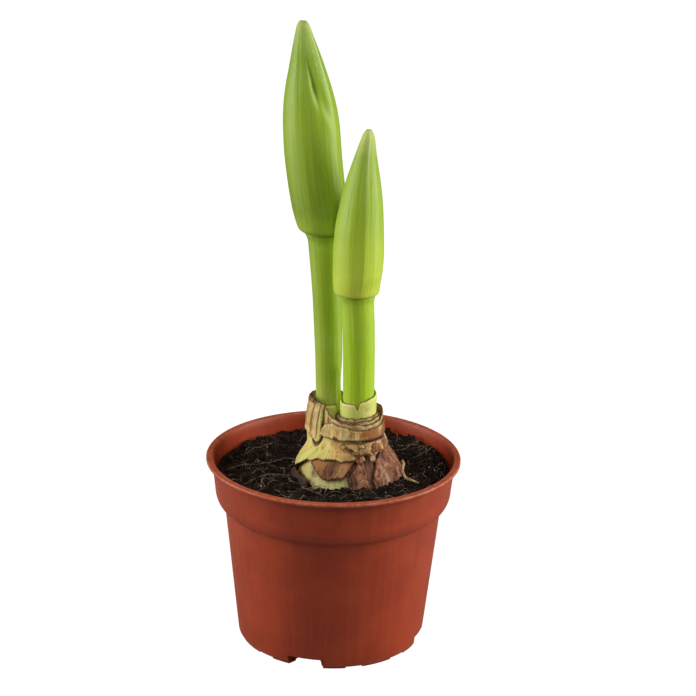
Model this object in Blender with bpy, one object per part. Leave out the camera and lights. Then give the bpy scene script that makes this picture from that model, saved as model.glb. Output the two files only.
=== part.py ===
"""An amaryllis bulb with two budding flower stems, planted in a plastic nursery pot.

Sizes are in millimetres and are turned into metres where a mesh is made. The origin is the centre of
the pot's base on the surface that it stands on, +Z is up, and the front of the plant faces -Y.
Angles round the plant are in degrees from +X, so -90 is the front, 0 the right and 180 the left.
"""

import math

import bmesh
import bpy
from mathutils import Vector, noise

MM = 0.001
GAP = 0.3  # clearance between two pieces that touch

# Driving sizes of the pot
LIP_RADIUS = 65.0
POT_HEIGHT = 97.2
WALL = 1.2
BASE_RADIUS = 48.2
WAIST_RADIUS = 55.6
WAIST_Z = 72.2
COLLAR_RADIUS = 60.5
COLLAR_Z = 81.0
COLLAR_TOP_RADIUS = 62.1
LIP_THICKNESS = 1.9
FOOT_WIDTH = 7.0
FLOOR_Z = 5.4
FLOOR_THICKNESS = 1.6
PAD_HEIGHT = 0.8
POT_SIDES = 56

# Foot notches and pads, in quarter turns round the base
NOTCH_ANGLE = -104.3
NOTCH_OUTER = 20.0
NOTCH_INNER = 12.0
NOTCH_HEIGHT = 5.1
PAD_SPANS = ((-96.0, -79.7), (-69.3, -49.0), (-37.4, -23.0))
DRAIN_RADIUS = 4.0
DRAIN_CIRCLE = 28.0

# Potting soil
SOIL_EDGE_Z = 89.0
SOIL_BULB_Z = 88.0
SOIL_RIGHT_RISE = 2.2
SOIL_SIDES = 56
SOIL_RINGS = 10

# Stems: foot in the bulb, then points up the axis as (z, x, y, radius)
TALL_STEM = ((101.0, -3.4, 8.3, 5.6), (128.8, -3.5, 9.1, 6.1), (144.8, -3.4, 9.6, 6.7),
             (160.7, -3.9, 10.1, 7.1), (176.4, -4.6, 10.6, 7.3), (192.0, -5.9, 11.0, 7.35),
             (204.8, -7.0, 11.4, 7.5), (208.0, -7.2, 11.5, 7.8), (210.4, -7.3, 11.5, 8.7),
             (211.5, -7.4, 11.5, 9.4))
SHORT_STEM = ((101.0, 12.1, -4.2, 7.4), (129.8, 12.1, -5.1, 7.8), (139.7, 12.0, -5.5, 7.8),
              (161.4, 11.6, -6.6, 7.9), (177.4, 10.8, -7.8, 8.0), (182.0, 10.4, -8.2, 8.2),
              (184.2, 10.2, -8.3, 8.7), (185.6, 10.1, -8.3, 9.5))

# Buds: points up the axis as (z, x, y, radius)
TALL_BUD = ((211.8, -7.4, 11.5, 9.8), (212.5, -7.4, 11.5, 11.0), (213.6, -7.6, 11.5, 12.0),
            (216.1, -8.0, 11.5, 12.7), (224.3, -9.3, 11.5, 13.5), (236.0, -11.0, 11.6, 13.9),
            (252.0, -12.9, 11.8, 14.0), (264.5, -13.8, 12.0, 13.8), (274.0, -14.6, 12.1, 13.0),
            (284.0, -15.5, 12.2, 11.2), (293.5, -16.3, 12.3, 8.8), (303.6, -17.4, 12.4, 6.1),
            (310.0, -18.1, 12.5, 4.2), (314.0, -18.4, 12.5, 3.0), (316.0, -18.5, 12.5, 1.7))
SHORT_BUD = ((185.9, 10.0, -8.3, 9.8), (186.6, 9.9, -8.4, 10.8), (187.7, 9.9, -8.4, 11.3),
             (190.5, 9.9, -8.5, 11.7), (197.5, 10.3, -8.6, 12.6), (205.7, 10.5, -8.6, 12.8),
             (217.1, 10.6, -8.7, 12.4), (230.5, 11.3, -8.8, 10.9), (241.5, 11.9, -8.8, 9.0),
             (249.7, 12.5, -8.9, 7.0), (257.6, 13.2, -9.0, 5.0), (262.5, 13.7, -9.0, 3.8),
             (266.0, 14.0, -9.0, 2.7), (268.0, 14.2, -9.0, 1.4))
BUD_SIDES = 30
STEM_SIDES = 20
KEEL = 0.035  # how far the bract keels stand out, as a share of the radius

# Bulb: points up the axis as (z, centre x, centre y, half width, half depth)
BULB = ((36.0, 8.5, -1.5, 11.0, 11.0), (38.5, 8.5, -1.5, 16.5, 16.0), (46.0, 8.7, -1.5, 25.0, 24.0),
        (58.0, 9.0, -1.6, 30.5, 29.0), (70.0, 9.0, -1.8, 31.5, 29.6), (80.0, 8.8, -2.0, 29.5, 27.2),
        (88.0, 8.4, -2.2, 26.6, 23.6), (96.0, 7.4, -1.4, 23.6, 21.6), (104.0, 6.8, 0.2, 20.0, 19.2),
        (112.0, 5.0, 1.2, 18.0, 17.6))

# Neck: above NECK_FROM_Z the bulb draws in to the outline round two circles, each (x, y, radius)
NECK_TALL = (-3.55, 8.83, 9.8)
NECK_SHORT = (10.9, -5.05, 13.4)
NECK_FROM_Z = 97.0
NECK_Z = 111.0
BULB_SIDES = 48
SOCKET_FLOOR_Z = 100.6
COLLAR_LEAN = 1.4  # how far the collar round the tall stem leans in at its top
COLLAR_STRAIGHT = 226.0  # past this angle its foot leaves the stem's circle and follows the bulb
COLLAR_END = 262.0

# Papery skins: thickness, and the step in angle between two columns
SKIN = 0.85
RING = 0.7
SKIN_STEP = 6.0


# Colour and roughness of each stuff
FINISHES = {
    "pot": ((0.42, 0.10, 0.045), 0.45),
    "soil": ((0.022, 0.014, 0.010), 0.95),
    "bulb": ((0.55, 0.47, 0.20), 0.55),
    "scale": ((0.50, 0.36, 0.13), 0.6),
    "tunic": ((0.26, 0.11, 0.065), 0.75),
    "sheath": ((0.55, 0.58, 0.24), 0.5),
    "green": ((0.26, 0.42, 0.035), 0.42),
    "bract": ((0.25, 0.40, 0.06), 0.4),
    "root": ((0.50, 0.36, 0.20), 0.8),
}


def value_at(points, at, column):
    """The value of a column of points at a place in column 0, on a smooth curve that never overshoots."""
    if at <= points[0][0]:
        return points[0][column]
    if at >= points[-1][0]:
        return points[-1][column]
    i = max(k for k in range(len(points) - 1) if points[k][0] <= at)

    def slope(k):
        if k <= 0 or k >= len(points) - 1:
            edge = min(max(k, 1), len(points) - 1)
            return ((points[edge][column] - points[edge - 1][column])
                    / (points[edge][0] - points[edge - 1][0]))
        before = (points[k][column] - points[k - 1][column]) / (points[k][0] - points[k - 1][0])
        after = (points[k + 1][column] - points[k][column]) / (points[k + 1][0] - points[k][0])
        return 0.0 if before * after <= 0 else 2 * before * after / (before + after)

    width = points[i + 1][0] - points[i][0]
    t = (at - points[i][0]) / width
    return ((2 * t**3 - 3 * t**2 + 1) * points[i][column] + (t**3 - 2 * t**2 + t) * width * slope(i)
            + (3 * t**2 - 2 * t**3) * points[i + 1][column] + (t**3 - t**2) * width * slope(i + 1))


def ramp(low, high, at):
    """0 below low, 1 above high and a smooth rise between them."""
    t = min(max((at - low) / (high - low), 0.0), 1.0)
    return t * t * (3 - 2 * t)


def bump(centre, width, at):
    """A smooth hill of height 1 at centre that has gone down to a third one width away."""
    return math.exp(-(((at - centre) / width) ** 2))


def torn(angle, amount, seed, pitch=9.0):
    """How far a torn edge strays at this angle, the same on each run."""
    around = Vector((math.cos(math.radians(angle)), math.sin(math.radians(angle)), 0)) * pitch
    return amount * noise.noise(around + Vector((0, 0, seed * 7.3)))


def material(name, colour, roughness):
    made = bpy.data.materials.new(name)
    made.use_nodes = True
    shader = made.node_tree.nodes["Principled BSDF"]
    shader.inputs["Base Color"].default_value = (*colour, 1.0)
    shader.inputs["Roughness"].default_value = roughness
    shader.inputs["Metallic"].default_value = 0.0
    return made


def add_object(name, points, faces, finish=None, cutter=False):
    """A mesh object from points in millimetres."""
    mesh = bpy.data.meshes.new(name)
    mesh.from_pydata([tuple(c * MM for c in p) for p in points], [], faces)
    mesh.update()
    made = bpy.data.objects.new(name, mesh)
    bpy.context.scene.collection.objects.link(made)
    if cutter:
        made.hide_render = True
        made.display_type = "WIRE"
    else:
        mesh.materials.append(material(name, *finish))
        mesh.shade_smooth()
        mesh.set_sharp_from_angle(angle=math.radians(40))
    return made


def stacked_rings(rings):
    """Points and faces of a closed body whose rings run anticlockwise and are stacked upwards."""
    sides = len(rings[0])
    points = [p for ring in rings for p in ring]
    faces = []
    for i in range(len(rings) - 1):
        for j in range(sides):
            a, b = i * sides + j, i * sides + (j + 1) % sides
            faces += [(a, b, b + sides), (a, b + sides, a + sides)]
    for ring, row, up in ((rings[0], 0, False), (rings[-1], len(rings) - 1, True)):
        middle = len(points)
        points.append(tuple(sum(p[k] for p in ring) / sides for k in range(3)))
        for j in range(sides):
            a, b = row * sides + j, row * sides + (j + 1) % sides
            faces.append((middle, a, b) if up else (middle, b, a))
    return points, faces


def curved_shell(outer, inner, closed):
    """Points and faces of a thin shell between two grids of rows, split alike on both faces."""
    rows, columns = len(outer), len(outer[0])
    points = [p for row in outer for p in row] + [p for row in inner for p in row]
    inside = rows * columns
    faces = []
    spans = columns if closed else columns - 1
    for i in range(rows - 1):
        for j in range(spans):
            a, b = i * columns + j, i * columns + (j + 1) % columns
            c, d = b + columns, a + columns
            faces += [(a, b, c), (a, c, d)]
            faces += [(a + inside, c + inside, b + inside), (a + inside, d + inside, c + inside)]
    for j in range(spans):
        a, b = j, (j + 1) % columns
        faces += [(a, a + inside, b + inside), (a, b + inside, b)]
        a, b = a + (rows - 1) * columns, b + (rows - 1) * columns
        faces += [(a, b, b + inside), (a, b + inside, a + inside)]
    if not closed:
        for i in range(rows - 1):
            a, d = i * columns, (i + 1) * columns
            faces += [(a, d, d + inside), (a, d + inside, a + inside)]
            a, d = a + columns - 1, d + columns - 1
            faces += [(a, a + inside, d + inside), (a, d + inside, d)]
    return points, faces


def cut(target, cutters):
    for i, cutter in enumerate(cutters):
        modifier = target.modifiers.new(f"cut {i + 1}", "BOOLEAN")
        modifier.operation = "DIFFERENCE"
        modifier.object = cutter


def turned(profile, sides):
    """Points and faces of a profile of (radius, z) turned round Z, up the outside from the axis."""
    rings = []
    for radius, z in profile[1:-1]:
        angles = [2 * math.pi * j / sides for j in range(sides)]
        rings.append([(radius * math.cos(a), radius * math.sin(a), z) for a in angles])
    return stacked_rings(rings)


def upright_prism(corners, bottom, top):
    """Points and faces of a prism over corners that run anticlockwise."""
    return stacked_rings([[(x, y, bottom) for x, y in corners], [(x, y, top) for x, y in corners]])


def turn(x, y, degrees):
    c, s = math.cos(math.radians(degrees)), math.sin(math.radians(degrees))
    return x * c - y * s, x * s + y * c


def build_pot(finish):
    """The nursery pot: tapered wall, shouldered collar, flat lip, and a raised floor on a notched foot."""
    shoulder = 4
    foot_inner = BASE_RADIUS - FOOT_WIDTH
    outside = [(0, FLOOR_Z), (foot_inner, FLOOR_Z), (foot_inner + 0.3, PAD_HEIGHT),
               (BASE_RADIUS - 0.6, PAD_HEIGHT), (BASE_RADIUS, PAD_HEIGHT + 0.8)]
    outside.append((WAIST_RADIUS, WAIST_Z))
    for k in range(1, shoulder + 1):
        a = math.pi / 2 * k / shoulder
        outside.append((WAIST_RADIUS + (COLLAR_RADIUS - WAIST_RADIUS) * math.sin(a),
                        WAIST_Z + (COLLAR_Z - WAIST_Z) * (1 - math.cos(a))))
    under_lip = POT_HEIGHT - LIP_THICKNESS
    outside += [(COLLAR_TOP_RADIUS, under_lip), (LIP_RADIUS - 0.5, under_lip + 0.1),
                (LIP_RADIUS, under_lip + 0.6), (LIP_RADIUS, POT_HEIGHT - 0.6),
                (LIP_RADIUS - 0.6, POT_HEIGHT)]
    inside = [(COLLAR_TOP_RADIUS, POT_HEIGHT), (COLLAR_TOP_RADIUS - WALL, POT_HEIGHT - 0.8),
              (COLLAR_RADIUS - WALL, COLLAR_Z)]
    for k in range(shoulder - 1, -1, -1):
        a = math.pi / 2 * k / shoulder
        inside.append((WAIST_RADIUS - WALL + (COLLAR_RADIUS - WAIST_RADIUS) * math.sin(a),
                       COLLAR_Z - (COLLAR_Z - WAIST_Z - WALL) * math.cos(a)))
    floor_top = FLOOR_Z + FLOOR_THICKNESS
    inside += [(BASE_RADIUS - WALL + 0.5, floor_top + 1.0),
               (BASE_RADIUS - WALL - 0.8, floor_top), (0, floor_top)]
    pot = add_object("pot", *turned(outside + inside, POT_SIDES), finish)

    cutters = []
    pads = []
    reach = BASE_RADIUS + 3.0
    flare = (NOTCH_OUTER - NOTCH_INNER) / 2 / FOOT_WIDTH
    for quarter in range(4):
        narrow, wide = NOTCH_INNER / 2 - 2.0 * flare, NOTCH_OUTER / 2 + 3.0 * flare
        corners = [(foot_inner - 2.0, -narrow), (reach, -wide), (reach, wide), (foot_inner - 2.0, narrow)]
        corners = [turn(x, y, NOTCH_ANGLE + 90 * quarter) for x, y in corners]
        cutters.append(add_object(f"notch cutter {quarter}", *upright_prism(corners, -1, NOTCH_HEIGHT),
                                  cutter=True))
        for angle in (0.0, 45.0):
            radius = DRAIN_CIRCLE if angle else DRAIN_CIRCLE * 0.45
            x, y = turn(radius, 0, NOTCH_ANGLE + 90 * quarter + angle)
            hole = [(x + DRAIN_RADIUS * math.cos(math.pi * k / 6),
                     y + DRAIN_RADIUS * math.sin(math.pi * k / 6)) for k in range(12)]
            cutters.append(add_object(f"drain cutter {quarter} {angle:.0f}",
                                      *upright_prism(hole, FLOOR_Z - 1, floor_top + 1), cutter=True))
        for start, end in PAD_SPANS:
            pads.append(foot_pad(start + 90 * quarter, end + 90 * quarter))
    group = bpy.data.collections.new("foot pads")
    bpy.context.scene.collection.children.link(group)
    for pad in pads:
        bpy.context.scene.collection.objects.unlink(pad)
        group.objects.link(pad)
    joined = pot.modifiers.new("foot pads", "BOOLEAN")
    joined.operation = "UNION"
    joined.operand_type = "COLLECTION"
    joined.collection = group
    cut(pot, cutters)
    return pot


def foot_pad(start, end):
    """A low pad under the foot ring that the pot stands on, between two angles."""
    inner, outer = BASE_RADIUS - FOOT_WIDTH + 2.0, BASE_RADIUS - 1.0
    spread = [start + (end - start) * k / 4 for k in range(5)]
    corners = [turn(inner, 0, a) for a in reversed(spread)] + [turn(outer, 0, a) for a in spread]
    return add_object(f"pad {start:.0f}", *upright_prism(corners, 0.0, PAD_HEIGHT + 0.6), cutter=True)


def neck_reach(direction, centre, grow):
    """How far the outline round the two neck circles lies from a centre, in a direction."""
    best = 0.0
    for k in range(13):
        x, y, radius = (NECK_TALL[i] + (NECK_SHORT[i] - NECK_TALL[i]) * k / 12 for i in range(3))
        back = centre - Vector((x, y))
        along = back.dot(direction)
        inside = along**2 - back.length_squared + (radius + grow) ** 2
        if inside > 0:
            best = max(best, math.sqrt(inside) - along)
    return best


def bulb_point(angle, z, offset):
    """A point over the bulb's skin."""
    a = math.radians(angle)
    direction = Vector((math.cos(a), math.sin(a)))
    centre = Vector((value_at(BULB, z, 1), value_at(BULB, z, 2)))
    body = Vector((direction.x * (value_at(BULB, z, 3) + offset),
                   direction.y * (value_at(BULB, z, 4) + offset)))
    neck = direction * neck_reach(direction, centre, offset)
    x, y = centre + body.lerp(neck, ramp(NECK_FROM_Z, NECK_Z, z))
    return x, y, z


def bulb_rings(grow):
    heights = [36.0, 38.5, 46.0, 58.0, 70.0, 80.0, 87.0, 92.0, 96.0, 100.0, 103.0, 106.0, 109.0, 112.0]
    rings = []
    for k, z in enumerate(heights):
        lift = -grow if k == 0 else grow if k == len(heights) - 1 else 0.0
        ring = []
        for j in range(BULB_SIDES):
            angle = 360.0 * j / BULB_SIDES
            x, y, _ = bulb_point(angle, z, grow)
            ring.append((x, y, z + lift))
        rings.append(ring)
    return rings


def skin_patch(angles, low, high, lift, thickness, grow=0.0, rows=4):
    """Grids of a papery scale over the bulb between two edges; lift is its height over the skin."""
    start, end = angles[0] - grow * 2.0, angles[1] + grow * 2.0
    columns = max(3, round((angles[1] - angles[0]) / SKIN_STEP)) + 1
    outer, inner = [], []
    for i in range(rows):
        t = i / (rows - 1)
        outer_row, inner_row = [], []
        for j in range(columns):
            angle = start + (end - start) * j / (columns - 1)
            z = (low(angle) - grow) * (1 - t) + (high(angle) + grow) * t
            offset = lift(angle, t)
            outer_row.append(bulb_point(angle, z, offset + thickness + grow))
            inner_row.append(bulb_point(angle, z, offset - grow))
        outer.append(outer_row)
        inner.append(inner_row)
    return curved_shell(outer, inner, False)


def neck_ring(centre, radius, thickness, angles, low, high, lean, rows=3, step=12.0):
    """A cut leaf base that stands round a stem, whole or open on one side; lean is its flare at the top."""
    closed = angles[1] - angles[0] >= 360
    columns = max(4, round((angles[1] - angles[0]) / step)) + (0 if closed else 1)
    outer, inner = [], []
    for i in range(rows):
        t = i / (rows - 1)
        outer_row, inner_row = [], []
        for j in range(columns):
            angle = angles[0] + (angles[1] - angles[0]) * j / (columns if closed else columns - 1)
            z = low + (high(angle) - low) * t
            a = math.radians(angle)
            reach = radius + lean(angle) * t * t
            inner_row.append((centre[0] + reach * math.cos(a), centre[1] + reach * math.sin(a), z))
            reach += thickness
            outer_row.append((centre[0] + reach * math.cos(a), centre[1] + reach * math.sin(a), z))
        outer.append(outer_row)
        inner.append(inner_row)
    return curved_shell(outer, inner, closed)


def collar_point(angle, z, offset):
    """A point on the collar round the tall stem: on the bulb's skin low down, and leaning in above it."""
    x, y, radius = NECK_TALL
    reach = radius + offset - COLLAR_LEAN * max(z - BULB[-1][0], 0.0) / 14.0
    a = math.radians(angle)
    on_circle = Vector((x + reach * math.cos(a), y + reach * math.sin(a), z))
    seen = math.degrees(math.atan2(y + radius * math.sin(a) - BULB[-1][2],
                                   x + radius * math.cos(a) - BULB[-1][1])) % 360
    if angle > COLLAR_STRAIGHT:
        share = (angle - COLLAR_STRAIGHT) / (COLLAR_END - COLLAR_STRAIGHT)
        seen = 179.0 + (210.0 - 179.0) * share
    return Vector(bulb_point(seen, z, offset)).lerp(on_circle, ramp(112.0, 124.0, z))


def build_collar(finish):
    """The open leaf base that wraps the tall stem and runs down onto the bulb at the left."""

    def low(a):
        edge = value_at(((46.0, 112.8), (56.0, 108.4), (80.0, 107.6), (205.0, 107.6), (232.0, 106.2),
                         (252.0, 105.4), (262.0, 107.6)), a, 1)
        return edge + torn(a, 0.4, 27) * ramp(46.0, 60.0, a)

    def high(a):
        return 126.4 - 1.6 * bump(255.0, 22.0, a) + torn(a, 0.9, 22)

    columns = 29
    outer, inner = [], []
    for t, flare, least in ((0.0, 1.3, 0.0), (0.08, 1.3, 0.0), (0.2, 0.0, 0.0), (0.32, 0.0, 112.6),
                            (0.5, 0.0, 114.0), (0.72, 0.0, 0.0), (1.0, 0.0, 0.0)):
        outer_row, inner_row = [], []
        for j in range(columns):
            angle = 30.0 + (COLLAR_END - 30.0) * j / (columns - 1)
            z = max(low(angle) + (high(angle) - low(angle)) * t, least)
            lift = GAP + flare * ramp(112.0, 109.0, low(angle)) * ramp(236.0, 229.0, angle)
            outer_row.append(tuple(collar_point(angle, z, lift + 1.1 - 0.3 * ramp(112.0, 126.0, z))))
            inner_row.append(tuple(collar_point(angle, z, lift)))
        outer.append(outer_row)
        inner.append(inner_row)
    add_object("collar_tall", *curved_shell(outer, inner, False), finish)


def edge_line(points, amount, seed):
    """A torn edge through points of (angle, z)."""

    def edge(angle):
        return value_at(points, angle, 1) + torn(angle, amount, seed)

    return edge


def skin_scales():
    """The dry skins and the cut outer ring: name, finish, angles, low edge, high edge, lift over the bulb."""
    soil_low = edge_line(((-180.0, 86.5), (180.0, 86.5)), 0.8, 5)
    band_low = ((-148.0, 110.0), (-140.0, 110.4), (-104.0, 111.3), (-75.0, 112.4), (-33.0, 112.8),
                (84.0, 112.8))

    def slack(low, high):
        return lambda a, t: low + (high - low) * t

    def right_lift(a, t):
        return 2.35 * (1 - t) + (1.5 - 1.2 * ramp(-50.0, -20.0, a)) * t

    def band_lift(a, t):
        over_collar = ramp(-112.0, -126.0, a)
        lift = (1.5 - 0.9 * ramp(-50.0, -10.0, a)) * (1 - t) + 0.4 * t
        return lift * (1 - over_collar) + 1.9 * over_collar

    def front_lift(a, t):
        return 0.3 + 1.7 * max(0.0, 1 - t / (0.35 + 0.2 * ramp(-110.0, -130.0, a)))

    def ring_lift(a, t):
        return -0.7 + 0.6 * bump(-5.0, 40.0, a) * t * t

    return (
        ("cut_ring_outer", "scale", (-146.0, 78.0), lambda a: BULB[-1][0] + GAP,
         edge_line(((-146.0, 125.2), (-138.0, 124.6), (-126.0, 122.4), (-108.0, 121.0), (-60.0, 120.4),
                    (-35.0, 121.2), (-8.0, 124.6), (10.0, 124.8), (40.0, 122.0), (78.0, 120.6)), 0.5, 26),
         ring_lift),
        ("scale_band", "scale", (-148.0, 84.0), edge_line(band_low, 0.3, 3),
         edge_line(((-148.0, 111.2), (-140.0, 115.0), (-128.0, 118.2), (-112.0, 119.4), (-84.0, 118.8),
                    (-67.0, 118.0), (-34.0, 118.8), (10.0, 119.6), (60.0, 118.6), (84.0, 115.5)), 0.5, 4),
         band_lift),
        ("scale_front", "scale", (-206.0, -66.0),
         edge_line(((-206.0, 97.0), (-190.0, 93.4), (-178.0, 92.6), (-165.0, 95.0), (-150.0, 99.2),
                    (-139.0, 100.4), (-97.0, 102.0), (-80.0, 102.0), (-66.0, 102.4)), 0.6, 1),
         edge_line(((-206.0, 108.2), (-186.0, 107.8), (-174.0, 105.2), (-158.0, 104.5), (-151.0, 105.2),
                    (-147.0, 106.6), (-142.0, 110.6), (-137.0, 112.0), (-66.0, 112.4)), 0.1, 6),
         front_lift),
        ("scale_right", "scale", (-90.0, 24.0),
         edge_line(((-90.0, 108.6), (-76.0, 106.4), (-62.0, 104.6), (-52.0, 104.2), (-44.0, 106.0),
                    (-36.0, 105.4), (-20.0, 105.2), (0.0, 105.8), (24.0, 107.4)), 0.9, 13),
         edge_line(((-90.0, 110.8), (-75.0, 111.5), (-33.0, 112.0), (24.0, 112.0)), 0.2, 14), right_lift),
        ("tunic_left", "tunic", (-141.0, -80.0),
         edge_line(((-141.0, 99.0), (-132.0, 97.0), (-122.0, 93.4), (-115.0, 92.2), (-106.0, 93.6),
                    (-97.0, 94.0), (-90.0, 97.2), (-80.0, 101.2)), 0.4, 2),
         edge_line(((-141.0, 100.8), (-125.0, 101.8), (-97.0, 102.8), (-80.0, 102.8)), 0.1, 7),
         slack(0.95, 0.4)),
        ("tunic_front", "tunic", (-90.0, -66.0), soil_low,
         edge_line(((-90.0, 94.8), (-85.0, 97.2), (-81.0, 98.8), (-77.0, 101.8), (-66.0, 103.0)), 0.1, 8),
         slack(0.95, 0.4)),
        ("tunic_right", "tunic", (-63.0, 66.0), soil_low,
         edge_line(((-63.0, 92.5), (-57.0, 96.4), (-46.0, 102.0), (-35.0, 104.6), (-21.0, 105.6),
                    (0.0, 106.2), (24.0, 105.8), (66.0, 101.0)), 0.5, 9), slack(1.3, 0.5)),
        ("tunic_back", "tunic", (70.0, 150.0), soil_low,
         lambda a: 100.5 + 2.5 * math.sin(math.radians(a * 3)) + torn(a, 1.4, 10), slack(1.0, 0.4)),
        ("dry_scale", "tunic", (-180.0, -136.0), edge_line(((-180.0, 86.0), (-136.0, 86.0)), 0.5, 11),
         edge_line(((-180.0, 89.4), (-166.0, 92.6), (-150.0, 92.0), (-136.0, 90.6)), 0.8, 12),
         slack(3.3, 2.9)),
    )


def build_scales():
    """The papery scales, and for those that reach the soil a slightly larger cutter."""
    cutters = []
    for name, finish, angles, low, high, lift in skin_scales():
        thickness = RING if name.startswith("cut_ring") else SKIN
        add_object(name, *skin_patch(angles, low, high, lift, thickness), FINISHES[finish])
        middle = sum(angles) / 2
        if min(low(angle) for angle in (angles[0], middle, angles[1])) < SOIL_EDGE_Z:
            cutters.append(add_object(f"{name} cutter", *skin_patch(
                angles, low, high, lift, SKIN, grow=GAP), cutter=True))
    return cutters


def build_neck():
    """The cut leaf bases that stand on the bulb round the two stems."""
    foot = BULB[-1][0] + GAP
    tall = (value_at(TALL_STEM, 120.0, 1), value_at(TALL_STEM, 120.0, 2))
    whole = (-180.0, 180.0)

    def upright(a):
        return 0.0

    rings = (
        ("sheath_tall", "sheath", tall, 6.6, 1.0, whole, lambda a: 123.2 + torn(a, 0.5, 21), upright),
        ("sheath_short", "sheath", (12.05, -5.0), 8.25, 0.85, whole,
         lambda a: (131.2 + 2.3 * math.cos(math.radians(a - 25.0)) - 3.4 * bump(-92.0, 7.0, a)
                    + torn(a, 0.5, 23)), lambda a: 0.15),
        ("cut_ring_inner", "scale", (12.05, -5.0), 9.5, 0.7, whole,
         lambda a: 122.4 + 0.8 * math.cos(math.radians(a)) + torn(a, 0.7, 24), upright),
        ("cut_ring_middle", "scale", (11.6, -5.05), 11.05, 0.7, whole,
         lambda a: 121.0 + 1.4 * math.cos(math.radians(a)) + torn(a, 0.9, 25), upright),
    )
    for name, finish, centre, radius, thickness, angles, high, lean in rings:
        shape = neck_ring(centre, radius, thickness, angles, foot, high, lean)
        add_object(name, *shape, FINISHES[finish])
    build_collar(FINISHES["scale"])


def build_bulb(finish):
    """The fleshy bulb, with a socket for each stem, and the cutter that makes room for it in the soil."""
    bulb = add_object("bulb", *stacked_rings(bulb_rings(0.0)), finish)
    sockets = []
    for name, stem in (("tall", TALL_STEM), ("short", SHORT_STEM)):
        rings = []
        for z in (SOCKET_FLOOR_Z, BULB[-1][0] + 2.0):
            rings.append(round_ring(stem, z, STEM_SIDES, GAP + 0.1, flat_below=stem[0][0]))
        sockets.append(add_object(f"{name} socket cutter", *stacked_rings(rings), cutter=True))
    cut(bulb, sockets)
    return add_object("bulb cutter", *stacked_rings(bulb_rings(GAP + 0.1)), cutter=True)


def round_ring(axis, z, sides, grow, flat_below=-1.0):
    """A ring of a stem at a height, grown outwards; below its foot it keeps the foot's place."""
    at = max(z, flat_below)
    x, y, radius = (value_at(axis, at, column) for column in (1, 2, 3))
    angles = [2 * math.pi * j / sides for j in range(sides)]
    return [(x + (radius + grow) * math.cos(a), y + (radius + grow) * math.sin(a), z) for a in angles]


def build_stem(name, axis, finish):
    heights = [axis[0][0] + (axis[-2][0] - axis[0][0]) * k / 9 for k in range(10)] + [axis[-1][0]]
    rings = [round_ring(axis, z, STEM_SIDES, 0.0) for z in heights]
    return add_object(name, *stacked_rings(rings), finish)


def build_bud(name, axis, keel_angle, creases, finish):
    """A closed bud: two bracts that meet at keels, with folds given as (angle, z, width, height, depth)."""
    heights = sorted({point[0] for point in axis}
                     | {axis[3][0] + (axis[-4][0] - axis[3][0]) * k / 9 for k in range(10)})
    heights = [z for k, z in enumerate(heights) if k == 0 or z - heights[k - 1] > 1.2]
    rings = []
    for z in heights:
        x, y, radius = (value_at(axis, z, column) for column in (1, 2, 3))
        swell = ramp(axis[0][0], axis[4][0], z)
        ring = []
        for j in range(BUD_SIDES):
            angle = 360.0 * j / BUD_SIDES
            reach = radius * (1 + KEEL * swell * math.cos(math.radians(2 * (angle - keel_angle))))
            for crease_angle, crease_z, crease_width, crease_height, depth in creases:
                away = (angle - crease_angle + 180) % 360 - 180
                reach -= depth * bump(0, crease_width, away) * bump(crease_z, crease_height, z)
            a = math.radians(angle)
            ring.append((x + reach * math.cos(a), y + reach * math.sin(a), z))
        rings.append(ring)
    return add_object(name, *stacked_rings(rings), finish)


def build_leaf_tip(finish):
    """The tip of a young leaf that stands between the two stems."""
    foot, tip = BULB[-1][0] + GAP, 144.0
    start, end = (2.49, 3.3), (1.9, 3.5)
    across = Vector((0.68, 0.73))
    rings = []
    for k in range(6):
        t = k / 5
        half = 1.8 * (1 - t) ** 0.6 + 0.35
        x, y = (start[i] + (end[i] - start[i]) * t for i in range(2))
        thick = 0.32
        through = Vector((-across.y, across.x)) * thick
        along = across * half
        corners = ((along.x, along.y), (through.x, through.y), (-along.x, -along.y), (-through.x, -through.y))
        rings.append([(x + dx, y + dy, foot + (tip - foot) * t) for dx, dy in corners])
    return add_object("leaf_tip", *stacked_rings(rings), finish)


def build_root(finish):
    """The dry root that curls from the bulb down onto the soil at the right."""
    route = [Vector((x, y, soil_height(x, y) + lift))
             for x, y, lift in ((35.0, -7.6, 7.4), (35.6, -9.8, 6.8), (35.0, -12.4, 4.6), (35.4, -15.4, 3.2),
                                (37.2, -18.4, 2.4), (40.2, -20.6, 2.0), (43.2, -21.8, 1.7))]
    radii = (0.7, 0.75, 0.8, 0.8, 0.75, 0.65, 0.5)
    sides = 6
    rings = []
    for k, here in enumerate(route):
        along = (route[min(k + 1, len(route) - 1)] - route[max(k - 1, 0)]).normalized()
        side = along.cross(Vector((0.3, 1.0, 0.2))).normalized()
        up = along.cross(side)
        rings.append([tuple(here + radii[k] * (math.cos(2 * math.pi * j / sides) * side
                                               + math.sin(2 * math.pi * j / sides) * up))
                      for j in range(sides)])
    points, faces = stacked_rings(rings)
    root = add_object("dry_root", points, faces, finish)
    shape = bmesh.new()
    shape.from_mesh(root.data)
    bmesh.ops.recalc_face_normals(shape, faces=shape.faces)
    shape.to_mesh(root.data)
    shape.free()
    return root


def soil_height(x, y):
    """The top of the soil: higher at the right, hollow round the bulb, and crumbly."""
    spot = Vector((x, y, 0.0))
    crumbs = 1.0 * noise.noise(spot * 0.16) + 0.55 * noise.noise(spot * 0.42 + Vector((5, 3, 1)))
    from_bulb = math.hypot(x - value_at(BULB, 88.0, 1), y - value_at(BULB, 88.0, 2))
    level = SOIL_BULB_Z + (SOIL_EDGE_Z - SOIL_BULB_Z) * ramp(28.0, 50.0, from_bulb)
    return level + SOIL_RIGHT_RISE * ramp(-10.0, 50.0, x) + 1.6 * crumbs


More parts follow.
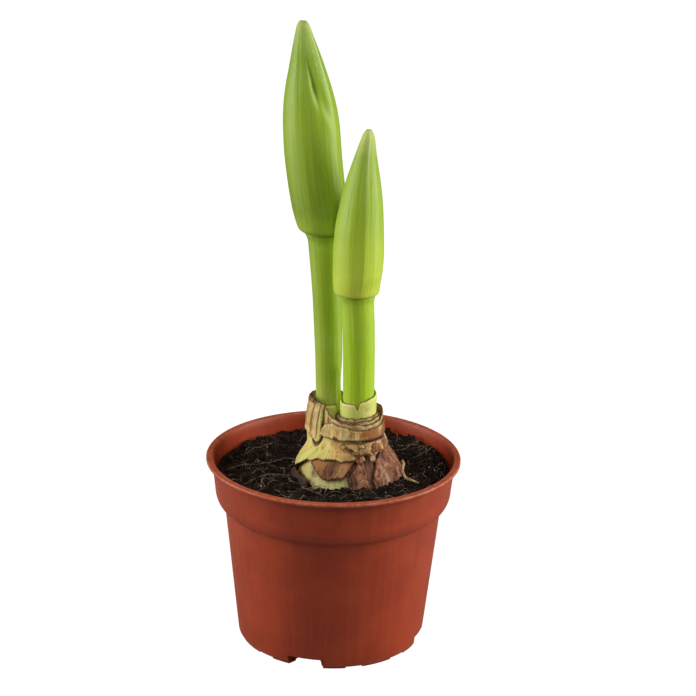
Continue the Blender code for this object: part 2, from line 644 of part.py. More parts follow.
def build_soil(finish, cutters):
    """The potting soil that fills the pot, with a socket for the bulb and its scales."""
    bottom = FLOOR_Z + FLOOR_THICKNESS + GAP
    slope = (WAIST_RADIUS - BASE_RADIUS) / (WAIST_Z - bottom)
    gap = WALL + GAP + 0.15
    low_radius = BASE_RADIUS - gap - 1.0
    rings = []

    def ring(radius, z):
        angles = [2 * math.pi * j / SOIL_SIDES for j in range(SOIL_SIDES)]
        return [(radius * math.cos(a), radius * math.sin(a), z) for a in angles]

    rings.append(ring(low_radius, bottom))
    rings.append(ring(low_radius + 0.9 + slope * 6, bottom + 6))
    rings.append(ring(WAIST_RADIUS - gap - 0.1, WAIST_Z + WALL + 0.4))
    rings.append(ring(COLLAR_RADIUS - gap - 0.4, COLLAR_Z))
    edge = COLLAR_RADIUS - gap - 0.1
    for k in range(SOIL_RINGS):
        radius = edge * (1 - k / SOIL_RINGS)
        rings.append([(x, y, soil_height(x, y)) for x, y, _ in ring(radius, 0.0)])
    soil = add_object("soil", *stacked_rings(rings), finish)
    cut(soil, cutters)
    return soil


def clear_scene():
    for old in list(bpy.data.objects):
        bpy.data.objects.remove(old)


def main():
    clear_scene()
    build_pot(FINISHES["pot"])
    bulb_cutter = build_bulb(FINISHES["bulb"])
    scale_cutters = build_scales()
    build_neck()
    build_stem("stem_tall", TALL_STEM, FINISHES["green"])
    build_stem("stem_short", SHORT_STEM, FINISHES["green"])
    build_bud("bud_tall", TALL_BUD, -35.0,
              ((-62.0, 279.0, 15.0, 9.0, 2.2), (-84.0, 291.0, 12.0, 8.0, 0.9)), FINISHES["bract"])
    build_bud("bud_short", SHORT_BUD, -78.0, (), FINISHES["bract"])
    build_leaf_tip(FINISHES["green"])
    build_root(FINISHES["root"])
    build_soil(FINISHES["soil"], [bulb_cutter] + scale_cutters)


main()
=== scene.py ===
import math
import bpy
import numpy as np
from mathutils import Matrix, Vector, noise


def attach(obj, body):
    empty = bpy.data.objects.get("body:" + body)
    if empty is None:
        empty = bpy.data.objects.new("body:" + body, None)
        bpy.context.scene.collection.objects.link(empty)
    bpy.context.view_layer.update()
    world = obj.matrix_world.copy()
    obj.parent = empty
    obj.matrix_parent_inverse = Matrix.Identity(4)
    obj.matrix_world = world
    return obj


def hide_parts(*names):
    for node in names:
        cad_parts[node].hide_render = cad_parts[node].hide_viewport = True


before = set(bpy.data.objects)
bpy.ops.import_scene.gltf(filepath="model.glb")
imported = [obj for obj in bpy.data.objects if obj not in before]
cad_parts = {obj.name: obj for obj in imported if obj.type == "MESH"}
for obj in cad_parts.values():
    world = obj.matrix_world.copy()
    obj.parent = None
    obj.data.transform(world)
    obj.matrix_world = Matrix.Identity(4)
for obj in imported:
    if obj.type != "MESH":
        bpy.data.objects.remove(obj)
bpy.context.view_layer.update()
mm = 0.001
print("frame loaded:", len(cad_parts), "nodes")

# shared shape helpers, all in mm and degrees


def ramp(low, high, at):
    t = np.clip((np.asarray(at, float) - low) / (high - low), 0, 1)
    return t * t * (3 - 2 * t)


def hill(centre, width, at):
    return np.exp(-(((np.asarray(at, float) - centre) / width) ** 2))


def along(points, at, column):
    # a smooth curve through the points that never overshoots them
    points = np.asarray(points, float)
    x, y = points[:, 0], points[:, column]
    steps, rises = np.diff(x), np.diff(y)
    slopes = rises / steps
    tangents = np.zeros(len(x))
    tangents[0], tangents[-1] = slopes[0], slopes[-1]
    before, after = slopes[:-1], slopes[1:]
    same = before * after > 0
    tangents[1:-1][same] = 2 * before[same] * after[same] / (before[same] + after[same])
    at = np.clip(np.asarray(at, float), x[0], x[-1])
    i = np.clip(np.searchsorted(x, at, side="right") - 1, 0, len(x) - 2)
    t = (at - x[i]) / steps[i]
    return ((2 * t**3 - 3 * t**2 + 1) * y[i] + (t**3 - 2 * t**2 + t) * steps[i] * tangents[i]
            + (3 * t**2 - 2 * t**3) * y[i + 1] + (t**3 - t**2) * steps[i] * tangents[i + 1])


def wobble(x, y, z, pitch, seed=0):
    # smooth noise from about -1 to 1, with bumps about one pitch apart
    dice = np.random.default_rng(4100 + seed)
    order = dice.permutation(256)
    lean = dice.normal(size=(256, 3))
    lean /= np.linalg.norm(lean, axis=1)[:, None]
    spot = [np.asarray(c, float) / pitch for c in np.broadcast_arrays(x, y, z)]
    cell = [np.floor(c).astype(int) for c in spot]
    part = [c - k for c, k in zip(spot, cell)]
    fade = [c * c * c * (c * (c * 6 - 15) + 10) for c in part]
    total = 0
    for dx in (0, 1):
        for dy in (0, 1):
            for dz in (0, 1):
                corner = order[(cell[0] + dx) & 255]
                corner = order[(corner + cell[1] + dy) & 255]
                g = lean[order[(corner + cell[2] + dz) & 255]]
                weight = ((fade[0] if dx else 1 - fade[0]) * (fade[1] if dy else 1 - fade[1])
                          * (fade[2] if dz else 1 - fade[2]))
                total = total + weight * (g[..., 0] * (part[0] - dx) + g[..., 1] * (part[1] - dy)
                                          + g[..., 2] * (part[2] - dz))
    return total * 1.5


def tear(angle, seed, coarse, fine):
    # how far a torn edge strays at an angle round the bulb
    a = np.radians(angle)
    x, y = 22 * np.cos(a), 22 * np.sin(a)
    return (coarse * wobble(x, y, seed * 3.7, 5.5, seed) + fine * wobble(x, y, seed * 5.1, 1.5, seed + 1)
            + 0.6 * fine * wobble(x, y, seed * 2.3, 0.6, seed + 2))


def gridFaces(rows, columns, closed):
    i, j = np.meshgrid(np.arange(rows - 1), np.arange(columns if closed else columns - 1), indexing="ij")
    a = i * columns + j
    b = i * columns + (j + 1) % columns
    return np.stack([a, b, b + columns, a + columns], -1).reshape(-1, 4)


def makePiece(name, points, faces, material, node=None, marks=None, smooth=True):
    # marks are named values for each point, which the materials read
    mesh = bpy.data.meshes.new(name)
    points = np.asarray(points, float).reshape(-1, 3)
    mesh.from_pydata((points * mm).tolist(), [], [list(map(int, f)) for f in faces])
    mesh.update()
    for label, values in (marks or {}).items():
        values = np.asarray(values, np.float32)
        kind = "FLOAT" if values.ndim == 1 else "FLOAT_VECTOR"
        layer = mesh.attributes.new(label, kind, "POINT")
        layer.data.foreach_set("value" if kind == "FLOAT" else "vector", values.ravel())
    if smooth:
        mesh.shade_smooth()
    piece = bpy.data.objects.new(name, mesh)
    bpy.context.scene.collection.objects.link(piece)
    mesh.materials.append(material)
    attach(piece, "root")
    if node:
        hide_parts(node)
    return piece


def shellFaces(rows, columns, closed):
    # a thin skin: outer grid, inner grid, and the rim that joins them
    outer = gridFaces(rows, columns, closed)
    inner = outer[:, ::-1] + rows * columns
    half = rows * columns
    rims = []
    spans = columns if closed else columns - 1
    for j in range(spans):
        a, b = j, (j + 1) % columns
        rims.append((b, a, a + half, b + half))
        a, b = a + (rows - 1) * columns, b + (rows - 1) * columns
        rims.append((a, b, b + half, a + half))
    if not closed:
        for i in range(rows - 1):
            a, d = i * columns, (i + 1) * columns
            rims.append((a, d, d + half, a + half))
            a, d = a + columns - 1, d + columns - 1
            rims.append((d, a, a + half, d + half))
    return np.concatenate([outer, inner, np.array(rims)])


def loft(x, y, z):
    # a closed body of rings, with a fan at each end
    points = np.stack([x, y, z], -1)
    rows, columns = x.shape
    faces = [tuple(f) for f in gridFaces(rows, columns, True)]
    low, high = rows * columns, rows * columns + 1
    for j in range(columns):
        k = (j + 1) % columns
        faces.append((low, k, j))
        faces.append((high, (rows - 1) * columns + j, (rows - 1) * columns + k))
    ends = [points[0].mean(0), points[-1].mean(0)]
    return np.concatenate([points.reshape(-1, 3), ends]), faces


def withEnds(values, low=0.0, high=0.0):
    # the values of a loft's rings, and those of the middles of its two ends
    values = np.asarray(values)
    values = values.reshape(-1, values.shape[-1]) if values.ndim == 3 else values.ravel()
    ends = np.zeros((2,) + values.shape[1:])
    ends[0], ends[1] = low, high
    return np.concatenate([values, ends])


# materials: a colour is sRGB from 0 to 255


def newMaterial(name):
    material = bpy.data.materials.new(name)
    material.use_nodes = True
    tree = material.node_tree
    return material, tree, tree.nodes["Principled BSDF"]


def srgb(red, green, blue):
    return tuple((c / 255 / 12.92) if c / 255 <= 0.04045 else ((c / 255 + 0.055) / 1.055) ** 2.4
                 for c in (red, green, blue)) + (1.0,)


def feed(tree, value, socket):
    # a socket takes another socket, a colour or a number
    if isinstance(value, bpy.types.NodeSocket):
        tree.links.new(value, socket)
    else:
        socket.default_value = srgb(*value) if isinstance(value, tuple) else value


def mixColour(tree, mask, first, second):
    made = tree.nodes.new("ShaderNodeMix")
    made.data_type = "RGBA"
    feed(tree, mask, made.inputs[0])
    feed(tree, first, made.inputs[6])
    feed(tree, second, made.inputs[7])
    return made.outputs[2]


def arithmetic(tree, operation, first, second):
    made = tree.nodes.new("ShaderNodeMath")
    made.operation = operation
    feed(tree, first, made.inputs[0])
    feed(tree, second, made.inputs[1])
    return made.outputs[0]


def plus(tree, first, second):
    return arithmetic(tree, "ADD", first, second)


def minus(tree, first, second):
    return arithmetic(tree, "SUBTRACT", first, second)


def times(tree, first, second):
    return arithmetic(tree, "MULTIPLY", first, second)


def over(tree, first, second):
    return arithmetic(tree, "DIVIDE", first, second)


def band(tree, value, low, high, reverse=False):
    made = tree.nodes.new("ShaderNodeMapRange")
    made.interpolation_type = "SMOOTHSTEP"
    feed(tree, value, made.inputs["Value"])
    feed(tree, low, made.inputs["From Min"])
    feed(tree, high, made.inputs["From Max"])
    made.inputs["To Min"].default_value = 1.0 if reverse else 0.0
    made.inputs["To Max"].default_value = 0.0 if reverse else 1.0
    return made.outputs["Result"]


def mark(tree, name, output="Fac"):
    made = tree.nodes.new("ShaderNodeAttribute")
    made.attribute_name = name
    return made.outputs[output]


def noiseOf(tree, vector, scale, detail, roughness=0.5):
    made = tree.nodes.new("ShaderNodeTexNoise")
    feed(tree, vector, made.inputs["Vector"])
    feed(tree, scale, made.inputs["Scale"])
    feed(tree, detail, made.inputs["Detail"])
    made.inputs["Roughness"].default_value = roughness
    return made.outputs["Fac"]


def groupOf(name, inputs, outputs):
    # an input with a number takes a value, and one without takes a vector
    tree = bpy.data.node_groups.new(name, "ShaderNodeTree")
    for label, value in inputs.items():
        kind = "NodeSocketVector" if value is None else "NodeSocketFloat"
        socket = tree.interface.new_socket(label, in_out="INPUT", socket_type=kind)
        if value is not None:
            socket.default_value = value
    for label in outputs:
        tree.interface.new_socket(label, in_out="OUTPUT", socket_type="NodeSocketFloat")
    return tree, tree.nodes.new("NodeGroupInput").outputs, tree.nodes.new("NodeGroupOutput").inputs


def place(tree, group, **values):
    made = tree.nodes.new("ShaderNodeGroup")
    made.node_tree = group
    for label, value in values.items():
        feed(tree, value, made.inputs[label])
    return made.outputs


def blotchGroup():
    # soft patches of noise, as a mask from 0 to 1
    tree, given, result = groupOf("blotches", {"Vector": None, "Scale": 200.0, "Low": 0.45, "High": 0.6,
                                               "Detail": 4.0}, ["Mask"])
    patches = noiseOf(tree, given["Vector"], given["Scale"], given["Detail"], 0.6)
    feed(tree, band(tree, patches, given["Low"], given["High"]), result["Mask"])
    return tree


def veinGroup():
    # fine lines that run up a leaf or a stem: a mask and a height
    tree, given, result = groupOf("veins", {"Flow": None, "Pitch": 1.0, "Stretch": 0.04, "Seed": 0.0},
                                  ["Mask", "Height"])
    split = tree.nodes.new("ShaderNodeSeparateXYZ")
    feed(tree, given["Flow"], split.inputs[0])
    joined = tree.nodes.new("ShaderNodeCombineXYZ")
    feed(tree, over(tree, split.outputs[0], given["Pitch"]), joined.inputs[0])
    feed(tree, times(tree, over(tree, split.outputs[1], given["Pitch"]), given["Stretch"]), joined.inputs[1])
    feed(tree, plus(tree, split.outputs[2], given["Seed"]), joined.inputs[2])
    lines = noiseOf(tree, joined.outputs[0], 1.0, 3.0, 0.55)
    feed(tree, band(tree, lines, 0.38, 0.66), result["Mask"])
    feed(tree, lines, result["Height"])
    return tree


def tornEdgeGroup():
    # how brown a scale is, from the distance to its torn edge in mm
    tree, given, result = groupOf("torn edge", {"Edge": 1.0, "Vector": None, "Width": 1.5, "Ragged": 1.0},
                                  ["Brown", "Rim"])
    stray = times(tree, minus(tree, noiseOf(tree, given["Vector"], 420.0, 5.0), 0.5), given["Ragged"])
    reach = plus(tree, given["Edge"], times(tree, stray, given["Width"]))
    feed(tree, band(tree, over(tree, reach, given["Width"]), 0.35, 1.1, reverse=True), result["Brown"])
    feed(tree, band(tree, given["Edge"], 0.1, 0.5, reverse=True), result["Rim"])
    return tree


blotches = blotchGroup()
veins = veinGroup()
tornEdge = tornEdgeGroup()


def objectCoords(tree):
    return tree.nodes.new("ShaderNodeTexCoord").outputs["Object"]


def clouded(tree, spot, scale, low, high, detail=4.0):
    return place(tree, blotches, Vector=spot, Scale=scale, Low=low, High=high, Detail=detail)["Mask"]


def finish(tree, shader, colour, roughness, height, bump, shine=0.5):
    # bump is the height of the relief in mm
    feed(tree, colour, shader.inputs["Base Color"])
    feed(tree, roughness, shader.inputs["Roughness"])
    shader.inputs["Specular IOR Level"].default_value = shine
    relief = tree.nodes.new("ShaderNodeBump")
    relief.inputs["Distance"].default_value = bump * mm
    feed(tree, height, relief.inputs["Height"])
    feed(tree, relief.outputs["Normal"], shader.inputs["Normal"])


# the pot's paler colour is painted on the lip as a highlight, and on the foot's edge
potLook = {"wall": (166, 61, 27), "shade": (151, 53, 22), "pale": (180, 80, 46), "sheenAndFootPale": (200, 130, 98),
           "streaks": 0.16, "roughness": 0.42, "shine": 0.32, "grain": 0.05}


def potMaterial():
    material, tree, shader = newMaterial("terracotta plastic")
    spot = objectCoords(tree)
    clouds = clouded(tree, spot, 38.0, 0.35, 0.7, 3.0)
    colour = mixColour(tree, clouds, potLook["shade"], potLook["wall"])
    # faint flow lines up the wall from the moulding
    streak = place(tree, veins, Flow=mark(tree, "flow", "Vector"), Pitch=3.4, Stretch=0.02, Seed=4.0)
    colour = mixColour(tree, times(tree, streak["Mask"], potLook["streaks"]), colour, potLook["pale"])
    # a painted highlight: the lip's rounded top edges are painted pale, and the foot's outer edge is paler
    # as well
    worn = clouded(tree, spot, 420.0, 0.42, 0.62, 5.0)
    sheenAndFootMask = times(tree, mark(tree, "lipSheenAndFoot"), plus(tree, 0.25, times(tree, worn, 0.5)))
    colour = mixColour(tree, sheenAndFootMask, colour, potLook["sheenAndFootPale"])
    roughness = plus(tree, potLook["roughness"], times(tree, worn, 0.12))
    grain = clouded(tree, spot, 1500.0, 0.3, 0.7, 2.0)
    height = plus(tree, times(tree, grain, 0.3), streak["Height"])
    finish(tree, shader, colour, roughness, height, potLook["grain"], potLook["shine"])
    return material


soilLook = {"dark": (18, 11, 6), "brown": (54, 34, 20), "grey": (120, 102, 82), "bump": 0.5, "shine": 0.2}


def soilMaterial(name="peat", lift=0.0):
    material, tree, shader = newMaterial(name)
    spot = objectCoords(tree)
    fine = clouded(tree, spot, 900.0, 0.4, 0.62, 6.0)
    broad = clouded(tree, spot, 160.0, 0.45, 0.65, 3.0)
    speck = clouded(tree, spot, 1700.0, 0.66, 0.72, 2.0)
    brown = times(tree, fine, plus(tree, 0.35 + lift, broad))
    colour = mixColour(tree, brown, soilLook["dark"], soilLook["brown"])
    colour = mixColour(tree, times(tree, speck, 0.5), colour, soilLook["grey"])
    roughness = minus(tree, 0.95, times(tree, broad, 0.25))
    finish(tree, shader, colour, roughness, fine, soilLook["bump"], soilLook["shine"])
    return material


def plantMaterial(name, look):
    # smooth green skin that changes up its length: stops are (share up the piece, colour)
    material, tree, shader = newMaterial(name)
    spot = objectCoords(tree)
    steps = tree.nodes.new("ShaderNodeValToRGB")
    elements = steps.color_ramp.elements
    while len(elements) < len(look["stops"]):
        elements.new(0.5)
    for element, (share, colour) in zip(elements, look["stops"]):
        element.position = share
        element.color = srgb(*colour)
    stray = times(tree, minus(tree, clouded(tree, spot, 120.0, 0.2, 0.8), 0.5), 0.05)
    feed(tree, plus(tree, mark(tree, "rise"), stray), steps.inputs["Fac"])
    lines = place(tree, veins, Flow=mark(tree, "flow", "Vector"), Pitch=look["pitch"], Stretch=0.03,
                  Seed=look["seed"])
    patches = clouded(tree, spot, 70.0, 0.4, 0.75, 2.0)
    colour = mixColour(tree, times(tree, lines["Mask"], look["lineStrength"]), steps.outputs["Color"],
                       look["line"])
    colour = mixColour(tree, times(tree, patches, look["patchStrength"]), colour, look["patch"])
    # painted shade: the bud's crease hollows are darkened toward a dark green
    colour = mixColour(tree, times(tree, mark(tree, "foldShade"), 0.75), colour, look["foldShadeColour"])
    # painted highlight: a pale line along the bud's two ridges
    colour = mixColour(tree, times(tree, mark(tree, "keel"), 0.6), colour, look["keelHighlightColour"])
    shader.inputs["Subsurface Weight"].default_value = 0.12
    shader.inputs["Subsurface Radius"].default_value = (0.6, 1.0, 0.2)
    shader.inputs["Subsurface Scale"].default_value = 0.004
    roughness = plus(tree, look["roughness"], times(tree, patches, 0.08))
    pores = clouded(tree, spot, 1800.0, 0.3, 0.7, 2.0)
    height = plus(tree, lines["Height"], times(tree, pores, 0.15))
    finish(tree, shader, colour, roughness, height, look["bump"], 0.28)
    return material


def scaleMaterial(name, look):
    # a papery leaf base: pale flesh, brown torn edges, stripes and spots
    look = dict(scaleUsual, **look)
    material, tree, shader = newMaterial(name)
    spot = objectCoords(tree)
    lines = place(tree, veins, Flow=mark(tree, "flow", "Vector"), Pitch=look["pitch"],
                  Stretch=look["stretch"], Seed=look["seed"])
    clouds = clouded(tree, spot, look["cloudScale"], look["cloudLow"], look["cloudLow"] + 0.2)
    colour = mixColour(tree, clouds, look["pale"], look["tan"])
    colour = mixColour(tree, times(tree, lines["Mask"], look["lineStrength"]), colour, look["line"])
    # painted stains, with mottled edges
    mottle = clouded(tree, spot, 260.0, 0.2, 0.8)
    share = plus(tree, mark(tree, "paintShare"), times(tree, minus(tree, mottle, 0.5), 0.55))
    tint = mixColour(tree, times(tree, lines["Mask"], 0.35), mark(tree, "paint", "Color"), look["line"])
    colour = mixColour(tree, band(tree, share, 0.3, 0.75), colour, tint)
    spots = clouded(tree, spot, look["spotScale"], look["spotLow"], look["spotLow"] + 0.05, 2.0)
    colour = mixColour(tree, times(tree, spots, look["spotStrength"]), colour, look["brown"])
    edge = place(tree, tornEdge, Edge=mark(tree, "edge"), Vector=spot, Width=look["edgeWidth"],
                 Ragged=look["ragged"])
    colour = mixColour(tree, times(tree, edge["Brown"], look["edgeStrength"]), colour, look["brown"])
    colour = mixColour(tree, times(tree, edge["Rim"], look["rimStrength"]), colour, look["rim"])
    roughness = plus(tree, look["roughness"], times(tree, clouds, 0.12))
    height = plus(tree, lines["Height"], times(tree, clouds, 0.4))
    finish(tree, shader, colour, roughness, height, look["bump"], look["shine"])
    return material


def plainMaterial(name, colour, darker, roughness, scale=600.0, bump=0.1):
    material, tree, shader = newMaterial(name)
    mask = clouded(tree, objectCoords(tree), scale, 0.35, 0.65)
    roughness = plus(tree, roughness, times(tree, mask, 0.1))
    finish(tree, shader, mixColour(tree, mask, colour, darker), roughness, mask, bump)
    return material


# pot

pot = {"lipRadius": 65.0, "height": 97.2, "wall": 1.2, "lipThickness": 1.9,
       "collarTopRadius": 62.1, "collarRadius": 60.5, "collarZ": 81.0, "waistRadius": 55.6, "waistZ": 72.2,
       "baseRadius": 48.2, "footWidth": 7.0, "floorZ": 5.4, "floorThickness": 1.6, "padHeight": 0.8,
       "notchAngle": -104.3, "notchOuter": 20.0, "notchInner": 12.0, "notchHeight": 5.1,
       "pads": ((-96.0, -79.7), (-69.3, -49.0), (-37.4, -23.0)), "drainRadius": 4.0, "drainCircle": 28.0,
       "sides": 192, "quarters": 4}


def prism(name, corners, bottom, top):
    n = len(corners)
    points = [(x, y, bottom) for x, y in corners] + [(x, y, top) for x, y in corners]
    faces = [tuple(reversed(range(n))), tuple(range(n, 2 * n))]
    faces += [(j, (j + 1) % n, n + (j + 1) % n, n + j) for j in range(n)]
    mesh = bpy.data.meshes.new(name)
    mesh.from_pydata([tuple(c * mm for c in p) for p in points], [], faces)
    made = bpy.data.objects.new(name, mesh)
    bpy.context.scene.collection.objects.link(made)
    return made


def turnXy(x, y, degrees):
    c, s = math.cos(math.radians(degrees)), math.sin(math.radians(degrees))
    return x * c - y * s, x * s + y * c


def straight(start, end, count, first=1):
    # points on a line, without its start unless first is 0
    return [tuple(a + (b - a) * (k / count) for a, b in zip(start, end)) for k in range(first, count + 1)]


def bend(centre, size, degrees):
    # points on an arc that may be oval
    turned = [math.radians(d) for d in degrees]
    return [(centre[0] + size[0] * math.cos(a), centre[1] + size[1] * math.sin(a)) for a in turned]


def potProfile():
    # (radius, z) from inside the foot, out and up the wall, over the lip and down to the floor
    base, waist, wall = pot["baseRadius"], pot["waistRadius"], pot["wall"]
    shoulder, top = pot["collarRadius"], pot["collarTopRadius"]
    waistZ, collarZ, height, foot = pot["waistZ"], pot["collarZ"], pot["height"], pot["padHeight"]
    footInner = base - pot["footWidth"]
    underLip = height - pot["lipThickness"]
    floorTop = pot["floorZ"] + pot["floorThickness"]
    outline = [(footInner, pot["floorZ"]), (footInner + 0.25, foot + 0.4), (footInner + 0.6, foot),
               (base - 0.9, foot), (base - 0.35, foot + 0.2), (base - 0.05, foot + 0.7)]
    outline += straight((base, foot + 0.8), (waist, waistZ - 0.7), 30)
    outline += bend((waist, collarZ), (shoulder - waist, collarZ - waistZ),
                    [7.5 * k - 90 for k in range(1, 13)])
    outline += straight((shoulder, collarZ), (top, underLip - 0.5), 8)
    # the lip, with small round edges
    outline.append((top + 0.3, underLip - 0.1))
    outline += bend((pot["lipRadius"] - 0.7, underLip + 0.7), (0.7, 0.7), (-70, -45, -20))
    outline += bend((pot["lipRadius"] - 0.8, height - 0.8), (0.8, 0.8), (10, 30, 50, 70, 90))
    outline += bend((top + 0.2, height - 0.9), (0.9, 0.9), (90, 115, 140, 165))
    outline += straight((top - wall, underLip - 0.4), (shoulder - wall, collarZ), 6, 0)
    outline += bend((waist - wall, collarZ), (shoulder - waist, collarZ - waistZ - wall),
                    [9 * k - 90 for k in range(9, -1, -1)])
    outline += straight((waist - wall, waistZ + wall), (base - wall + 0.5, floorTop + 1.0), 8)
    outline.append((base - wall - 0.8, floorTop))
    return outline


def footShapes():
    # what is cut out of the foot and the floor, and the pads that the pot stands on
    cutters, pads = [], []
    base, width, notchAngle = pot["baseRadius"], pot["footWidth"], pot["notchAngle"]
    slope = (pot["notchOuter"] - pot["notchInner"]) / 2 / width
    inner, outer = base - width - 2.0, base + 3.0
    narrow = pot["notchInner"] / 2 - 2.0 * slope
    wide = pot["notchOuter"] / 2 + 3.0 * slope
    for quarter in range(pot["quarters"]):
        corners = [(inner, -narrow), (outer, -wide), (outer, wide), (inner, narrow)]
        corners = [turnXy(x, y, notchAngle + 90 * quarter) for x, y in corners]
        cutters.append(prism("notch", corners, -1, pot["notchHeight"]))
        for share, angle in ((0.45, 0.0), (1.0, 45.0)):
            middle = turnXy(pot["drainCircle"] * share, 0, notchAngle + 90 * quarter + angle)
            hole = bend(middle, (pot["drainRadius"], pot["drainRadius"]), range(0, 360, 15))
            top = pot["floorZ"] + pot["floorThickness"] + 1
            cutters.append(prism("drain", hole, pot["floorZ"] - 1, top))
        for start, end in pot["pads"]:
            spread = [start + (end - start) * k / 10 + 90 * quarter for k in range(11)]
            corners = ([turnXy(base - width + 1.6, 0, a) for a in reversed(spread)]
                       + [turnXy(base - 0.9, 0, a) for a in spread])
            pads.append(prism("pad", corners, 0.0, pot["padHeight"] + 0.4))
    return cutters, pads


def carve(piece, pads, cutters):
    for shapes, operation in ((pads, "UNION"), (cutters, "DIFFERENCE")):
        for shape in shapes:
            modifier = piece.modifiers.new("shape", "BOOLEAN")
            modifier.operation = operation
            modifier.solver = "EXACT"
            modifier.object = shape
    graph = bpy.context.evaluated_depsgraph_get()
    seen = piece.evaluated_get(graph)
    carved = bpy.data.meshes.new_from_object(seen, preserve_all_data_layers=True, depsgraph=graph)
    piece.modifiers.clear()
    piece.data = carved
    for shape in pads + cutters:
        bpy.data.objects.remove(shape)
    return carved


def buildPot():
    outline = np.array(potProfile())
    angles = np.radians(np.arange(pot["sides"]) * 360 / pot["sides"])[None, :]
    radius, z = outline[:, 0][:, None], outline[:, 1][:, None]
    # a thin plastic wall is never quite round
    wave = 0.10 * np.sin(3 * angles + 0.4) + 0.07 * np.sin(5 * angles + 2.0)
    grow = radius + wave * ramp(5, 60, z) * (1 - ramp(92, 95, z)) * (radius < 64)
    radius, z = radius + 0 * angles, z + 0 * angles
    points, faces = loft(grow * np.cos(angles), grow * np.sin(angles), z)
    flow = withEnds(np.stack([angles * 55 + 0 * z, z, 0 * z], -1), (0, 5, 0), (0, 7, 0))
    # where the pale is painted: a highlight along the lip's outer and inner top edges, and a band at the
    # foot's edge
    lipSheenAndFoot = (hill(65.2, 0.9, radius) * hill(96.8, 1.0, z) + 0.6 * hill(62.0, 0.8, radius) * hill(97.2, 0.6, z)
           + 0.5 * hill(pot["baseRadius"], 1.0, radius) * hill(0.8, 0.8, z))
    piece = makePiece("pot_body", points, faces, potMaterial(), "pot",
                      {"flow": flow, "lipSheenAndFoot": withEnds(np.clip(lipSheenAndFoot, 0, 1))})
    cutters, pads = footShapes()
    carved = carve(piece, pads, cutters)
    carved.shade_smooth()
    carved.set_sharp_from_angle(angle=math.radians(32))


buildPot()
print("pot made")

# stems and buds, each along an axis of (z, x, y, radius)

stems = {
    "tall": {"axis": ((101.0, -3.4, 8.3, 5.6), (128.8, -3.5, 9.1, 6.1), (144.8, -3.4, 9.6, 6.7),
                      (160.7, -3.9, 10.1, 7.1), (176.4, -4.6, 10.6, 7.3), (192.0, -5.9, 11.0, 7.35),
                      (204.8, -7.0, 11.4, 7.5), (208.0, -7.2, 11.5, 7.8), (210.4, -7.3, 11.5, 8.7),
                      (211.6, -7.4, 11.5, 9.3)),
             "look": {"stops": ((0.0, (206, 212, 110)), (0.25, (158, 182, 48)), (0.6, (146, 172, 35)),
                                (1.0, (150, 176, 42))),
                      "pitch": 0.8, "seed": 1.0, "line": (120, 150, 40), "lineStrength": 0.3,
                      "patch": (170, 192, 84), "patchStrength": 0.3, "foldShadeColour": (90, 110, 30),
                      "keelHighlightColour": (190, 205, 120), "roughness": 0.38, "bump": 0.12}},
    "short": {"axis": ((101.0, 12.1, -4.2, 7.4), (129.8, 12.1, -5.1, 7.8), (139.7, 12.0, -5.5, 7.8),
                       (161.4, 11.6, -6.6, 7.9), (177.4, 10.8, -7.8, 8.0), (182.0, 10.4, -8.2, 8.2),
                       (184.2, 10.2, -8.3, 8.7), (185.7, 10.1, -8.3, 9.4)),
              "look": {"stops": ((0.0, (214, 220, 98)), (0.3, (174, 206, 38)), (0.6, (166, 200, 36)),
                                 (1.0, (170, 202, 46))),
                       "pitch": 0.8, "seed": 2.0, "line": (130, 165, 30), "lineStrength": 0.3,
                       "patch": (180, 205, 80), "patchStrength": 0.3, "foldShadeColour": (90, 110, 30),
                       "keelHighlightColour": (200, 215, 120), "roughness": 0.38, "bump": 0.12}},
}


def buildStem(name, spec):
    axis = spec["axis"]
    bottom, top = axis[0][0], axis[-1][0]
    z = np.linspace(bottom, top, 90)[:, None]
    angles = np.radians(np.arange(72) * 5.0)[None, :]
    x, y, radius = (along(axis, z, k) for k in (1, 2, 3))
    # a stem is slightly oval, with soft ribs
    reach = radius * (1 + 0.012 * np.cos(2 * angles + 0.6)) + 0.05 * np.sin(angles * 18 + z * 0.02)
    reach = reach + 0.04 * wobble(angles * 8, z * 0.05, 3.0, 1.0, int(spec["look"]["seed"]))
    high = z + 0 * angles
    points, faces = loft(x + reach * np.cos(angles), y + reach * np.sin(angles), high)
    flow = withEnds(np.stack([angles * 7 + 0 * z, high, 0 * high], -1), (0, bottom, 0), (0, top, 0))
    rise = np.clip(withEnds((high - bulb["topZ"]) / (top - bulb["topZ"]), 0, 1), 0, 1)
    none = np.zeros(len(points))
    material = plantMaterial(name + " stem", spec["look"])
    makePiece(f"stem_{name}_skin", points, faces, material, "stem_" + name,
              {"flow": flow, "rise": rise, "foldShade": none, "keel": none})


